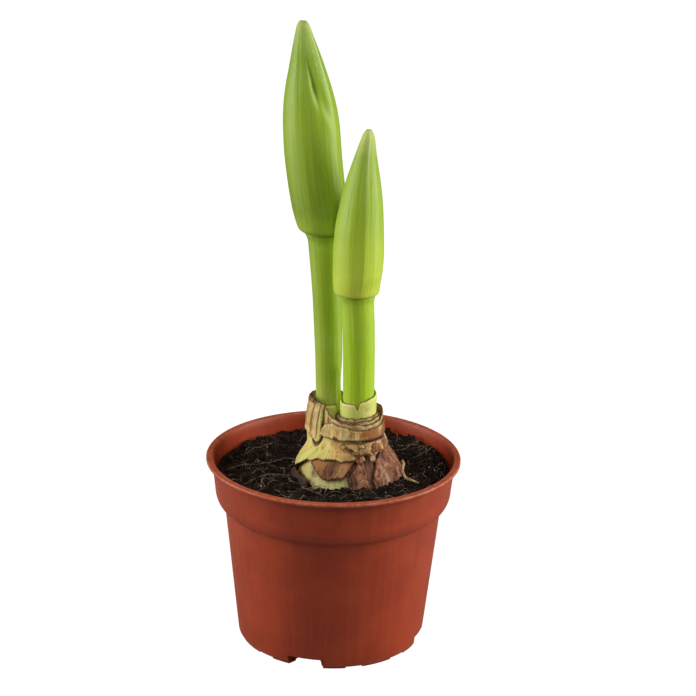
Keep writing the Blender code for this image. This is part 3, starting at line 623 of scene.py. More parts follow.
buds = {
    "tall": {
        "axis": ((211.8, -7.4, 11.5, 9.7), (212.5, -7.4, 11.5, 11.0), (213.6, -7.6, 11.5, 12.0),
                 (216.1, -8.0, 11.5, 12.7), (224.3, -9.3, 11.5, 13.5), (236.0, -11.0, 11.6, 13.9),
                 (252.0, -12.9, 11.8, 14.0), (264.5, -13.8, 12.0, 13.8), (274.0, -14.6, 12.1, 13.0),
                 (284.0, -15.5, 12.2, 11.2), (293.5, -16.3, 12.3, 8.8), (303.6, -17.4, 12.4, 6.1),
                 (310.0, -18.1, 12.5, 4.2), (314.0, -18.4, 12.5, 3.0), (316.0, -18.5, 12.5, 1.7)),
        "keelAngle": -35.0, "keel": 0.035,
        "creases": ((-74.0, 285.0, 4.6, 6.2, 1.25, -0.7, 0.6),
                    (-82.0, 292.0, 3.0, 6.0, 0.5, -0.4, 0.4),
                    (-60.0, 279.0, 13.0, 11.0, 1.1, -0.6, 0.0),
                    (-54.0, 270.0, 10.0, 7.0, -0.7, -1.0, 0.0),
                    (-92.0, 286.0, 8.0, 9.0, -0.35, -0.4, 0.0)),
        "look": {"stops": ((0.0, (160, 184, 50)), (0.12, (124, 148, 26)), (0.5, (150, 174, 44)),
                           (0.85, (128, 160, 38)), (1.0, (176, 190, 96))),
                 "pitch": 1.3, "seed": 5.0, "line": (150, 178, 62), "lineStrength": 0.32,
                 "patch": (134, 166, 60), "patchStrength": 0.4, "foldShadeColour": (58, 80, 18),
                 "keelHighlightColour": (190, 208, 130), "roughness": 0.36, "bump": 0.22}},
    "short": {
        "axis": ((185.9, 10.0, -8.3, 9.7), (186.6, 9.9, -8.4, 10.8), (187.7, 9.9, -8.4, 11.3),
                 (190.5, 9.9, -8.5, 11.7), (197.5, 10.3, -8.6, 12.6), (205.7, 10.5, -8.6, 12.8),
                 (217.1, 10.6, -8.7, 12.4), (230.5, 11.3, -8.8, 10.9), (241.5, 11.9, -8.8, 9.0),
                 (249.7, 12.5, -8.9, 7.0), (257.6, 13.2, -9.0, 5.0), (262.5, 13.7, -9.0, 3.8),
                 (266.0, 14.0, -9.0, 2.7), (268.0, 14.2, -9.0, 1.4)),
        "keelAngle": -78.0, "keel": 0.035, "creases": (),
        "look": {"stops": ((0.0, (198, 214, 66)), (0.2, (182, 202, 56)), (0.5, (150, 178, 42)),
                           (0.85, (142, 168, 50)), (1.0, (190, 198, 108))),
                 "pitch": 1.2, "seed": 8.0, "line": (174, 196, 74), "lineStrength": 0.32,
                 "patch": (150, 180, 66), "patchStrength": 0.35, "foldShadeColour": (70, 95, 20),
                 "keelHighlightColour": (205, 218, 140), "roughness": 0.36, "bump": 0.22}},
}


def buildBud(name, spec):
    axis = spec["axis"]
    bottom, top = axis[0][0], axis[-1][0]
    t = np.linspace(0, 1, 150)
    z = (bottom + (top - bottom) * (t + 0.06 * np.sin(2 * math.pi * t) * -1))[:, None]
    degrees = np.arange(144)[None, :] * 2.5
    angles = np.radians(degrees)
    x, y, radius = (along(axis, z, k) for k in (1, 2, 3))
    swell = ramp(bottom, axis[4][0], z)
    reach = radius * (1 + spec["keel"] * swell * np.cos(2 * (angles - math.radians(spec["keelAngle"]))))
    high = z + 0 * angles
    foldShade = 0 * high
    # each crease is a dent, and its last value paints the hollow darker as shade
    for creaseAngle, creaseZ, creaseWidth, creaseHeight, depth, slant, shade in spec["creases"]:
        away = (degrees - creaseAngle - slant * (z - creaseZ) + 180) % 360 - 180
        dip = hill(0, creaseWidth, away) * hill(creaseZ, creaseHeight, z)
        reach = reach - depth * dip
        foldShade = np.maximum(foldShade, shade * dip)
    # soft lengthwise pleats, and a ridge where the two bracts meet on each side
    pleat = 0.14 * wobble(angles * 6, z * 0.012, 1.0, 1.0, 50)
    pleat = pleat + 0.07 * wobble(angles * 14, z * 0.03, 2.0, 1.0, 51)
    reach = reach + pleat * swell * np.clip(radius / 8, 0.2, 1)
    keel = 0 * high
    for turned in (0, 180):
        away = (degrees - spec["keelAngle"] - turned + 180) % 360 - 180
        aside = away * math.radians(1) * radius
        reach = reach + 0.34 * swell * np.exp(-np.abs(aside) / 0.8)
        # a pale line along each ridge's crest, painted as a highlight
        keel = keel + np.exp(-(aside / 0.55) ** 2) * ramp(0.25, 0.9, (z - bottom) / (top - bottom))
    points, faces = loft(x + reach * np.cos(angles), y + reach * np.sin(angles), high)
    flow = withEnds(np.stack([angles * 12 + 0 * z, high, 0 * high], -1), (0, bottom, 0), (0, top, 0))
    marks = {"flow": flow, "rise": np.clip(withEnds((high - bottom) / (top - bottom), 0, 1), 0, 1),
             "foldShade": withEnds(np.clip(foldShade, 0, 1)), "keel": withEnds(np.clip(keel, 0, 1))}
    material = plantMaterial(name + " bud", spec["look"])
    makePiece(f"bud_{name}_skin", points, faces, material, "bud_" + name, marks)


# bulb and its scales

scaleLooks = {
    "cream": {"pale": (226, 204, 130), "tan": (198, 160, 90), "line": (146, 98, 50), "lineStrength": 0.55,
              "pitch": 0.9, "seed": 11.0, "cloudScale": 190.0, "cloudLow": 0.42, "brown": (104, 60, 26),
              "edgeWidth": 0.8, "edgeStrength": 0.7, "rim": (60, 36, 18), "rimStrength": 0.7,
              "roughness": 0.6, "bump": 0.25, "spotStrength": 0.5},
    "paleGreen": {"pale": (214, 208, 112), "tan": (224, 192, 118), "line": (168, 146, 62),
                  "lineStrength": 0.4, "pitch": 1.1, "seed": 12.0, "cloudScale": 120.0, "cloudLow": 0.4,
                  "brown": (122, 78, 34), "edgeWidth": 0.8, "edgeStrength": 0.65, "rim": (84, 54, 26),
                  "rimStrength": 0.65, "roughness": 0.5, "bump": 0.2, "spotStrength": 0.75,
                  "spotScale": 700.0, "spotLow": 0.64},
    "flesh": {"pale": (128, 84, 46), "tan": (96, 56, 34), "line": (160, 120, 62), "lineStrength": 0.4,
              "pitch": 1.1, "seed": 18.0, "cloudScale": 180.0, "cloudLow": 0.46, "brown": (70, 40, 24),
              "edgeWidth": 1.0, "edgeStrength": 0.5, "rim": (50, 30, 16), "rimStrength": 0.5,
              "roughness": 0.65, "bump": 0.3, "spotStrength": 0.5},
    "tatter": {"pale": (198, 158, 102), "tan": (132, 76, 48), "line": (196, 160, 100),
               "lineStrength": 0.5, "pitch": 1.0, "stretch": 0.3, "seed": 19.0, "cloudScale": 300.0,
               "cloudLow": 0.46, "brown": (92, 50, 30), "edgeWidth": 1.0, "edgeStrength": 0.75,
               "rim": (48, 27, 16), "rimStrength": 0.55, "roughness": 0.65, "bump": 0.45,
               "spotStrength": 0.7, "spotScale": 800.0},
    "brownFlap": {"pale": (142, 90, 48), "tan": (102, 54, 34), "line": (176, 130, 68),
                  "lineStrength": 0.5, "pitch": 1.2, "seed": 13.0, "cloudScale": 230.0, "cloudLow": 0.44,
                  "brown": (60, 32, 20), "edgeWidth": 0.9, "edgeStrength": 0.6, "rim": (60, 36, 20),
                  "rimStrength": 0.6, "roughness": 0.65, "bump": 0.4},
    "redTunic": {"pale": (176, 118, 82), "tan": (104, 52, 34), "line": (192, 140, 98),
                 "lineStrength": 0.55, "pitch": 0.8, "stretch": 0.16, "seed": 14.0, "cloudScale": 330.0,
                 "cloudLow": 0.36, "brown": (70, 36, 27), "edgeWidth": 1.1, "edgeStrength": 0.7,
                 "rim": (50, 28, 20), "rimStrength": 0.7, "roughness": 0.65, "bump": 0.8,
                 "spotStrength": 0.75, "spotScale": 620.0, "spotLow": 0.6},
    "ring": {"pale": (206, 186, 122), "tan": (176, 140, 80), "line": (150, 104, 56), "lineStrength": 0.4,
             "pitch": 0.6, "seed": 15.0, "cloudScale": 260.0, "cloudLow": 0.44, "brown": (118, 72, 34),
             "edgeWidth": 0.9, "edgeStrength": 0.85, "rim": (58, 34, 16), "rimStrength": 0.8,
             "roughness": 0.6, "bump": 0.25, "spotStrength": 0.5},
    "sheath": {"pale": (216, 222, 112), "tan": (228, 218, 126), "line": (176, 190, 76),
               "lineStrength": 0.4, "pitch": 0.7, "stretch": 0.05, "seed": 16.0, "cloudScale": 90.0,
               "cloudLow": 0.5, "brown": (140, 100, 42), "edgeWidth": 0.5, "edgeStrength": 0.7,
               "rim": (84, 58, 26), "rimStrength": 0.75, "roughness": 0.45, "bump": 0.12,
               "spotStrength": 0.12},
    "darkChip": {"pale": (62, 36, 28), "tan": (38, 24, 20), "line": (96, 60, 44), "lineStrength": 0.4,
                 "pitch": 1.4, "seed": 17.0, "cloudScale": 240.0, "cloudLow": 0.45, "brown": (34, 22, 18),
                 "edgeWidth": 1.0, "edgeStrength": 0.6, "rim": (92, 60, 42), "rimStrength": 0.5,
                 "roughness": 0.6, "bump": 0.4},
}
scaleUsual = {"stretch": 0.12, "spotScale": 900.0, "spotLow": 0.64, "spotStrength": 0.7, "ragged": 1.6,
              "shine": 0.3}
scaleMaterials = {name: scaleMaterial(name + " scale", look) for name, look in scaleLooks.items()}

# the profile is (z, x, y, half width, half depth), and the necks are (x, y, radius)
bulb = {"profile": ((36.0, 8.5, -1.5, 11.0, 11.0), (38.5, 8.5, -1.5, 16.5, 16.0),
                    (46.0, 8.7, -1.5, 25.0, 24.0), (58.0, 9.0, -1.6, 30.5, 29.0),
                    (70.0, 9.0, -1.8, 31.5, 29.6), (80.0, 8.8, -2.0, 29.5, 27.2),
                    (88.0, 8.4, -2.2, 26.6, 23.6), (96.0, 7.4, -1.4, 23.6, 21.6),
                    (104.0, 6.8, 0.2, 20.0, 19.2), (112.0, 5.0, 1.2, 18.0, 17.6)),
        "neckTall": (-3.55, 8.83, 9.8), "neckShort": (10.9, -5.05, 13.4), "neckFromZ": 97.0,
        "neckZ": 111.0, "topZ": 112.0,
        "patches": (((-116, 88), (26, 8), (228, 224, 150), 1.0, 0),
                    ((-150, 97), (16, 9), (210, 202, 118), 0.9, 0),
                    ((-60, 99), (10, 6), (92, 46, 34), 0.9, 0))}


def neckReach(a, middleX, middleY, grow):
    # how far the outline round the two stems lies from a point, in a direction
    best = 0.0
    for share in np.linspace(0, 1, 25):
        necks = zip(bulb["neckTall"], bulb["neckShort"])
        x, y, radius = (tall + (short - tall) * share for tall, short in necks)
        backX, backY = middleX - x, middleY - y
        ahead = backX * np.cos(a) + backY * np.sin(a)
        inside = ahead**2 - backX**2 - backY**2 + (radius + grow) ** 2
        best = np.maximum(best, np.where(inside > 0, np.sqrt(np.maximum(inside, 0)) - ahead, 0))
    return best


def onBulb(angle, z, offset):
    a, z, offset = np.broadcast_arrays(np.radians(angle), np.asarray(z, float), np.asarray(offset, float))
    middleX, middleY, halfX, halfY = (along(bulb["profile"], z, k) for k in (1, 2, 3, 4))
    drawnIn = ramp(bulb["neckFromZ"], bulb["neckZ"], z)
    neck = neckReach(a, middleX, middleY, offset) * drawnIn
    x = middleX + np.cos(a) * ((halfX + offset) * (1 - drawnIn) + neck)
    y = middleY + np.sin(a) * ((halfY + offset) * (1 - drawnIn) + neck)
    return x, y, z


def onRing(centre):
    # upright round a stem: the offset is the distance from the stem's middle
    def shape(angle, z, reach):
        a, z, reach = np.broadcast_arrays(np.radians(angle), np.asarray(z, float), reach)
        return centre[0] + reach * np.cos(a), centre[1] + reach * np.sin(a), z

    return shape


def onCollar(angle, z, offset):
    # on the bulb low down, and leaning in round the tall stem above it
    angle, z, offset = np.broadcast_arrays(angle, np.asarray(z, float), np.asarray(offset, float))
    middleX, middleY, radius = bulb["neckTall"]
    a = np.radians(angle)
    reach = radius + offset - collar["lean"] * np.maximum(z - bulb["topZ"], 0) / collar["leanOver"]
    seen = np.degrees(np.arctan2(middleY + radius * np.sin(a) - bulb["profile"][-1][2],
                                 middleX + radius * np.cos(a) - bulb["profile"][-1][1])) % 360
    past = (angle - collar["straight"]) / (collar["angles"][1] - collar["straight"])
    seen = np.where(past > 0, collar["wrapFrom"] + collar["wrapTurn"] * past, seen)
    x, y, _ = onBulb(seen, z, offset)
    inward = ramp(*collar["leavesBulb"], z)
    return (x + (middleX + reach * np.cos(a) - x) * inward,
            y + (middleY + reach * np.sin(a) - y) * inward, z)


def edgeLine(points, seed=0, coarse=0.0, fine=0.0):
    def edge(angle):
        return along(points, angle, 1) + tear(angle, seed, coarse, fine)

    return edge


def paintOn(patches, angle, z):
    # coloured patches: (angle, z), (half width in degrees, half height in mm), colour, strength, slant
    colour = np.zeros(angle.shape + (3,))
    share = np.zeros(angle.shape)
    for (middle, height), (wide, tall), tint, strength, slant in patches:
        away = (angle - middle - slant * (z - height)) / wide
        mask = strength * np.exp(-np.abs(away) ** 3 - np.abs((z - height) / tall) ** 3)
        mix = (mask / np.maximum(share + mask, 1e-6))[..., None]
        colour = colour * (1 - mix) + np.array(srgb(*tint)[:3]) * mix
        share = np.maximum(share, mask)
    return colour, share


def scaleSheet(name, spec, replaced=True):
    # a papery scale over a surface, between two torn edges
    seed, near = spec["seed"], spec.get("near", 24.0)
    first, last = spec["angles"]
    closed = last - first >= 360
    rows = spec.get("rows", 40)
    columns = int(math.radians(last - first) * near / spec.get("pitch", 0.5))
    theta = np.arange(columns) * 360 / columns + first if closed else np.linspace(first, last, columns)
    theta = theta[None, :]
    t = np.linspace(0, 1, rows)[:, None]
    bottom, top = spec["low"](theta), spec["high"](theta)
    z = bottom + (top - bottom) * t
    edge = np.minimum(z - bottom, top - z)
    if closed:
        theta = theta + np.zeros_like(t)
    else:
        edge = np.minimum(edge, np.minimum(theta - first, last - theta) * math.radians(near))
        # the two sides are ragged as well
        stray = 0.5 * wobble(z, seed * 9.1, 0, 2.4, seed + 5)
        stray = stray + 0.25 * wobble(z, seed * 4.1, 0, 0.8, seed + 6)
        theta = theta + np.degrees(stray / near) * (2 * (theta - first) / (last - first) - 1)
    u = theta * math.radians(near)
    crinkle, ridges = spec.get("crinkle", 0.12), spec.get("ridges", 0.06)
    relief = crinkle * wobble(u, z * 0.45, seed * 7.7, 2.6, seed + 10)
    relief = relief + 0.4 * crinkle * wobble(u, z * 0.6, seed * 3.3, 0.9, seed + 11)
    relief = relief + ridges * wobble(u, z * 0.06, seed * 1.9, 0.75, seed + 12)
    base = spec["lift"](theta, t) + spec.get("curlLow", 0.0) * np.exp(-(z - bottom) / 1.6)
    thin = spec.get("thickness", 0.7) * (0.35 + 0.65 * ramp(0.0, 1.2, edge))
    shape = spec.get("shape", onBulb)
    outer = np.stack(shape(theta, z, base + thin + relief), -1)
    inner = np.stack(shape(theta, z, base + 0.4 * np.minimum(relief, 0)), -1)
    points = np.concatenate([outer.reshape(-1, 3), inner.reshape(-1, 3)])
    flow = np.stack([u, z, np.full(z.shape, seed * 3.0)], -1).reshape(-1, 3)
    colour, share = paintOn(spec.get("patches", ()), theta, z)
    marks = {"flow": np.tile(flow, (2, 1)), "edge": np.tile(edge.ravel(), 2),
             "paint": np.tile(colour.reshape(-1, 3), (2, 1)), "paintShare": np.tile(share.ravel(), 2)}
    return makePiece(name + "_skin", points, shellFaces(rows, columns, closed), scaleMaterials[spec["look"]],
                     name if replaced else None, marks)


def slack(low, high):
    # a skin's height over the bulb, from its low edge to its high edge
    return lambda angle, t: low + (high - low) * t + 0 * angle


def bandLift(angle, t):
    overCollar = ramp(-112.0, -126.0, angle)
    lift = (1.5 - 0.9 * ramp(-50.0, -10.0, angle)) * (1 - t) + 0.4 * t
    return lift * (1 - overCollar) + 1.9 * overCollar


def frontLift(angle, t):
    return 0.3 + 1.7 * np.maximum(0.0, 1 - t / (0.35 + 0.2 * ramp(-110.0, -130.0, angle)))


def rightLift(angle, t):
    return 2.35 * (1 - t) + (1.5 - 1.2 * ramp(-50.0, -20.0, angle)) * t


def collarLift(angle, t):
    flare = ramp(0.2, 0.08, t) * ramp(56.0, 66.0, angle) * ramp(236.0, 229.0, angle)
    return 0.3 + 0.45 * flare


soilLow = edgeLine(((-206.0, 86.5), (206.0, 86.5)), 5, 0.8, 0.3)
scales = {
    "scale_front": {
        "look": "paleGreen", "slot": "scale", "seed": 1, "angles": (-206.0, -66.0), "lift": frontLift,
        "curlLow": 0.3,
        "low": edgeLine(((-206.0, 97.0), (-190.0, 93.4), (-178.0, 92.4), (-165.0, 95.0), (-150.0, 99.2),
                         (-139.0, 100.4), (-97.0, 102.0), (-80.0, 102.0), (-66.0, 102.4)), 1, 0.8, 0.5),
        "high": edgeLine(((-206.0, 108.2), (-186.0, 107.8), (-174.0, 105.2), (-158.0, 104.5),
                          (-151.0, 105.2), (-147.0, 106.6), (-142.0, 110.6), (-137.0, 112.0),
                          (-66.0, 112.4))),
        "patches": (((-96, 106), (22, 4.0), (222, 178, 104), 0.85, 0),
                    ((-74, 106), (9, 6.0), (160, 100, 50), 0.85, 0),
                    ((-108, 108.6), (12, 1.6), (170, 116, 60), 0.8, 0),
                    ((-86, 102.8), (12, 1.4), (150, 98, 50), 0.75, 0),
                    ((-160, 98), (12, 5), (216, 220, 128), 0.8, 0),
                    ((-136, 106), (10, 2.2), (200, 150, 84), 0.7, 0),
                    ((-100, 110.2), (24, 1.0), (150, 104, 54), 0.7, 0),
                    ((-147, 103), (2.4, 3.5), (104, 66, 30), 0.6, 0.6),
                    ((-128, 103), (3, 2.4), (150, 100, 44), 0.5, -0.6))},
    "scale_right": {
        "look": "tatter", "slot": "scale", "seed": 2, "angles": (-90.0, 24.0), "lift": rightLift,
        "crinkle": 0.34, "curlLow": 0.35,
        "low": edgeLine(((-90.0, 108.6), (-76.0, 106.4), (-62.0, 104.6), (-52.0, 104.2), (-44.0, 106.0),
                         (-36.0, 105.4), (-20.0, 105.2), (0.0, 105.8), (24.0, 107.4)), 13, 1.5, 0.9),
        "high": edgeLine(((-90.0, 110.8), (-75.0, 111.5), (-33.0, 112.0), (24.0, 112.0)), 14, 0.3, 0.3),
        "patches": (((-80, 109), (9, 2.6), (206, 170, 104), 0.9, 0),
                    ((-60, 109), (7, 3.4), (196, 158, 98), 0.85, 0),
                    ((-46, 108), (6, 3.0), (122, 62, 44), 0.8, 0),
                    ((-28, 109), (9, 3.5), (112, 64, 46), 0.7, 0))},
    "scale_band": {
        "look": "cream", "slot": "scale", "seed": 3, "angles": (-148.0, 84.0), "lift": bandLift,
        "curlLow": 0.25,
        "low": edgeLine(((-148.0, 109.8), (-140.0, 110.4), (-104.0, 111.3), (-75.0, 112.4),
                         (-33.0, 112.8), (84.0, 112.8)), 3, 0.5, 0.35),
        "high": edgeLine(((-148.0, 110.8), (-140.0, 115.0), (-128.0, 118.2), (-112.0, 119.4),
                          (-84.0, 118.8), (-67.0, 118.0), (-34.0, 118.8), (10.0, 119.6), (60.0, 118.6),
                          (84.0, 115.5)), 4, 0.7, 0.4),
        "patches": (((-54, 115.6), (17, 4.6), (150, 92, 40), 0.95, 0),
                    ((-20, 115.6), (26, 5.0), (138, 82, 38), 0.85, 0),
                    ((-79, 116.0), (5, 2.6), (168, 84, 60), 0.55, 0.5),
                    ((-104, 112.4), (6, 1.1), (74, 40, 20), 0.95, 0),
                    ((-96, 117.6), (14, 1.2), (198, 170, 108), 0.6, 0),
                    ((40, 115), (30, 6), (150, 96, 50), 0.7, 0))},
    "tunic_left": {
        "look": "brownFlap", "slot": "tunic", "seed": 7, "angles": (-141.0, -80.0),
        "lift": slack(0.95, 0.4), "curlLow": 0.6, "crinkle": 0.3,
        "low": edgeLine(((-141.0, 99.0), (-132.0, 97.0), (-122.0, 93.4), (-115.0, 92.2), (-106.0, 93.6),
                         (-97.0, 94.0), (-90.0, 97.2), (-80.0, 101.2)), 2, 0.6, 0.5),
        "high": edgeLine(((-141.0, 100.8), (-125.0, 101.8), (-97.0, 102.8), (-80.0, 102.8))),
        "patches": (((-130, 99.4), (10, 2.6), (170, 110, 52), 0.9, 0),
                    ((-112, 97.5), (9, 4.0), (92, 44, 34), 0.9, 0.8),
                    ((-95, 99.0), (7, 4.5), (176, 128, 84), 0.9, 0.6),
                    ((-104, 95.0), (1.5, 3.0), (206, 170, 112), 0.8, 1.4))},
    "tunic_front": {
        "look": "redTunic", "slot": "tunic", "seed": 8, "angles": (-90.0, -66.0),
        "lift": slack(0.95, 0.4), "crinkle": 0.35, "low": soilLow,
        "high": edgeLine(((-90.0, 94.8), (-85.0, 97.2), (-81.0, 98.8), (-77.0, 101.8), (-66.0, 103.0)), 8,
                         0.3, 0.3),
        "patches": (((-84, 91), (5, 7), (74, 38, 30), 0.8, 0),)},
    "tunic_right": {
        "look": "redTunic", "slot": "tunic", "seed": 9, "angles": (-63.0, 66.0), "lift": slack(1.3, 0.5),
        "crinkle": 0.4, "low": soilLow,
        "high": edgeLine(((-63.0, 92.5), (-57.0, 96.4), (-46.0, 102.0), (-35.0, 104.6), (-21.0, 105.6),
                          (0.0, 106.2), (24.0, 105.8), (66.0, 101.0)), 9, 0.7, 0.6),
        "patches": (((-44, 93), (8, 7), (190, 152, 124), 0.6, 0),
                    ((-26, 100), (6, 4), (112, 60, 46), 0.7, 0),
                    ((-20, 92), (6, 5), (180, 138, 112), 0.5, 0),
                    ((-58, 91), (4, 5), (70, 34, 28), 0.8, 0),
                    ((-38, 101), (7, 2.5), (84, 42, 34), 0.8, -0.6))},
    "tunic_back": {
        "look": "redTunic", "slot": "tunic", "seed": 10, "angles": (70.0, 150.0), "lift": slack(1.0, 0.4),
        "crinkle": 0.35, "low": soilLow,
        "high": lambda a: 100.5 + 2.5 * np.sin(np.radians(a * 3)) + tear(a, 10, 1.4, 0.6)},
    "dry_scale": {
        "look": "darkChip", "slot": "tunic", "seed": 12, "angles": (-180.0, -136.0),
        "lift": slack(3.3, 2.9), "crinkle": 0.4,
        "low": edgeLine(((-180.0, 86.0), (-136.0, 86.0)), 11, 0.5, 0.3),
        "high": edgeLine(((-180.0, 89.4), (-166.0, 92.6), (-150.0, 92.0), (-136.0, 90.6)), 12, 0.9,
                         0.5)},
}
collar = {"look": "cream", "slot": "scale", "seed": 21, "angles": (30.0, 262.0), "straight": 226.0,
          "lean": 1.4, "leanOver": 14.0, "wrapFrom": 179.0, "wrapTurn": 31.0, "leavesBulb": (112.0, 124.0),
          "near": 11.0, "pitch": 0.3, "rows": 70, "lift": collarLift, "thickness": 1.0,
          "crinkle": 0.08, "shape": onCollar,
          "low": edgeLine(((30.0, 112.8), (46.0, 112.8), (56.0, 108.4), (80.0, 107.6), (205.0, 107.6),
                           (232.0, 106.2), (252.0, 105.4), (262.0, 107.6)), 27, 0.4, 0.3),
          "high": lambda a: 126.4 - 1.6 * hill(255.0, 22.0, a) + tear(a, 22, 0.8, 0.5),
          "patches": (((256, 114), (4.5, 11), (190, 196, 96), 1.0, 0.2),
                      ((247, 116), (3.0, 10), (120, 72, 34), 0.95, 0.3),
                      ((238, 115), (5.0, 10), (216, 192, 126), 0.8, 0.3),
                      ((227, 117), (4.0, 10), (150, 100, 48), 0.9, 0.2),
                      ((214, 116), (6.0, 10), (206, 178, 112), 0.8, 0),
                      ((201, 118), (4.0, 9), (132, 82, 42), 0.85, 0),
                      ((186, 118), (8, 9), (170, 124, 70), 0.7, 0),
                      ((200, 125.4), (60, 1.6), (84, 50, 26), 0.8, 0),
                      ((120, 118), (40, 9), (150, 104, 56), 0.5, 0))}

def shortSheathTop(angle):
    # cut at a slant, with a nick at the front
    slanted = 131.2 + 2.3 * np.cos(np.radians(angle - 25.0))
    return slanted - 3.4 * hill(-92.0, 7.0, angle) + tear(angle, 23, 0.4, 0.25)


rings = {
    "sheath_tall": {
        "look": "sheath", "slot": "sheath", "seed": 20, "angles": (-180.0, 180.0),
        "centre": (-3.55, 8.85), "lift": slack(6.6, 6.6), "thickness": 0.9,
        "high": lambda a: 123.2 + tear(a, 21, 0.5, 0.2)},
    "sheath_short": {
        "look": "sheath", "slot": "sheath", "seed": 22, "angles": (-180.0, 180.0),
        "centre": (12.05, -5.0), "lift": slack(8.25, 8.4), "thickness": 0.8, "rows": 44,
        "high": shortSheathTop,
        "patches": (((-120, 129), (30, 5), (222, 206, 132), 0.6, 0),
                    ((-60, 127), (22, 4), (176, 190, 84), 0.5, 0))},
    "cut_ring_inner": {
        "look": "ring", "slot": "scale", "seed": 23, "angles": (-180.0, 180.0), "centre": (12.05, -5.0),
        "lift": slack(9.5, 9.5), "thickness": 0.65,
        "high": lambda a: 122.4 + 0.8 * np.cos(np.radians(a)) + tear(a, 24, 0.6, 0.4)},
    "cut_ring_middle": {
        "look": "ring", "slot": "scale", "seed": 24, "angles": (-180.0, 180.0), "centre": (11.6, -5.05),
        "lift": slack(11.05, 11.05), "thickness": 0.65,
        "high": lambda a: 121.0 + 1.4 * np.cos(np.radians(a)) + tear(a, 25, 0.8, 0.5)},
    "cut_ring_outer": {
        "look": "ring", "slot": "scale", "seed": 25, "angles": (-146.0, 78.0), "centre": None,
        "near": 15.0, "lift": lambda a, t: -0.7 + 0.6 * hill(-5.0, 40.0, a) * t * t, "thickness": 0.65,
        "high": edgeLine(((-146.0, 125.2), (-138.0, 124.6), (-126.0, 122.4), (-108.0, 121.0),
                          (-60.0, 120.4), (-35.0, 121.2), (-8.0, 124.6), (10.0, 124.8), (40.0, 122.0),
                          (78.0, 120.6)), 26, 0.7, 0.5),
        "patches": (((0, 120), (40, 8), (170, 110, 60), 0.7, 0),
                    ((-140, 118), (5, 8), (196, 176, 104), 0.8, 0),
                    ((-128, 119), (4, 6), (132, 84, 44), 0.7, 0))},
}


scraps = (
    {"look": "cream", "angles": (-97.0, -61.0), "z": (108.0, 110.9), "lift": (2.5, 1.9), "seed": 41},
    {"look": "tatter", "angles": (-85.0, -63.0), "z": (104.8, 108.0), "lift": (3.0, 2.6), "seed": 42},
    {"look": "brownFlap", "angles": (-57.0, -44.0), "z": (105.6, 110.8), "lift": (3.0, 2.3), "seed": 43},
    {"look": "redTunic", "angles": (-45.0, -31.0), "z": (103.4, 107.4), "lift": (2.7, 2.6), "seed": 44},
    {"look": "redTunic", "angles": (-41.0, -22.0), "z": (107.6, 112.0), "lift": (2.1, 1.4), "seed": 45},
    {"look": "tatter", "angles": (-61.0, -50.0), "z": (101.6, 105.4), "lift": (2.4, 2.7), "seed": 46},
    {"look": "tatter", "angles": (-20.0, 12.0), "z": (104.6, 107.6), "lift": (2.7, 2.3), "seed": 47},
    {"look": "brownFlap", "angles": (-80.0, -69.0), "z": (101.6, 104.2), "lift": (3.0, 2.6), "seed": 48},
)


def buildScraps():
    for number, spec in enumerate(scraps):
        low, high = spec["z"]
        middle, wide = sum(spec["angles"]) / 2, (spec["angles"][1] - spec["angles"][0]) / 2

        def shrink(a, tall=high - low, middle=middle, wide=wide):
            # rounded at both ends, so that a scrap isn't a plain patch
            return tall * 0.42 * np.clip(np.abs(a - middle) / wide, 0, 1) ** 3

        sheet = {"look": spec["look"], "slot": "scale", "seed": spec["seed"], "angles": spec["angles"],
                 "lift": slack(*spec["lift"]), "crinkle": 0.25, "curlLow": 0.2, "rows": 18, "pitch": 0.35,
                 "thickness": 0.32,
                 "low": lambda a, f=shrink, z=low, k=spec["seed"]: z + f(a) + tear(a, k, 1.2, 0.8),
                 "high": lambda a, f=shrink, z=high, k=spec["seed"]: z - f(a) + tear(a, k + 20, 0.6, 0.5)}
        scaleSheet(f"torn_scrap_{number + 1}", sheet, False)


def buildBulb():
    # coarse rings in the soil and fine ones above it
    z = np.concatenate([np.linspace(36.0, 86.0, 26), np.linspace(86.5, 111.6, 60), [bulb["topZ"]]])[:, None]
    degrees = np.arange(220)[None, :] * 360.0 / 220
    x, y, high = onBulb(degrees, z, -0.15 + 0.10 * wobble(degrees * 0.4, z * 0.3, 0, 3.0, 70))
    points, faces = loft(x, y, high)
    colour, share = paintOn(bulb["patches"], (degrees + 180) % 360 - 180 + 0 * z, high)
    flow = np.stack([degrees * 0.4 + 0 * high, high, 0 * high], -1)
    marks = {"flow": withEnds(flow), "edge": np.full(len(points), 9.0), "paint": withEnds(colour),
             "paintShare": withEnds(share)}
    makePiece("bulb_flesh", points, faces, scaleMaterials["flesh"], "bulb", marks)


def buildRing(name, spec):
    usual = {"near": 10.0, "pitch": 0.4, "rows": 32, "crinkle": 0.08, "ridges": 0.05,
             "shape": onRing(spec["centre"]) if spec["centre"] else onBulb,
             "low": lambda a: bulb["topZ"] + 0.3 + 0 * a}
    scaleSheet(name, dict(usual, **spec))


for name, spec in stems.items():
    buildStem(name, spec)
for name, spec in buds.items():
    buildBud(name, spec)
print("stems and buds made")

buildBulb()
for name, spec in scales.items():
    scaleSheet(name, spec)
buildScraps()
scaleSheet("collar_tall", collar)
for name, spec in rings.items():
    buildRing(name, spec)
print("bulb and scales made")


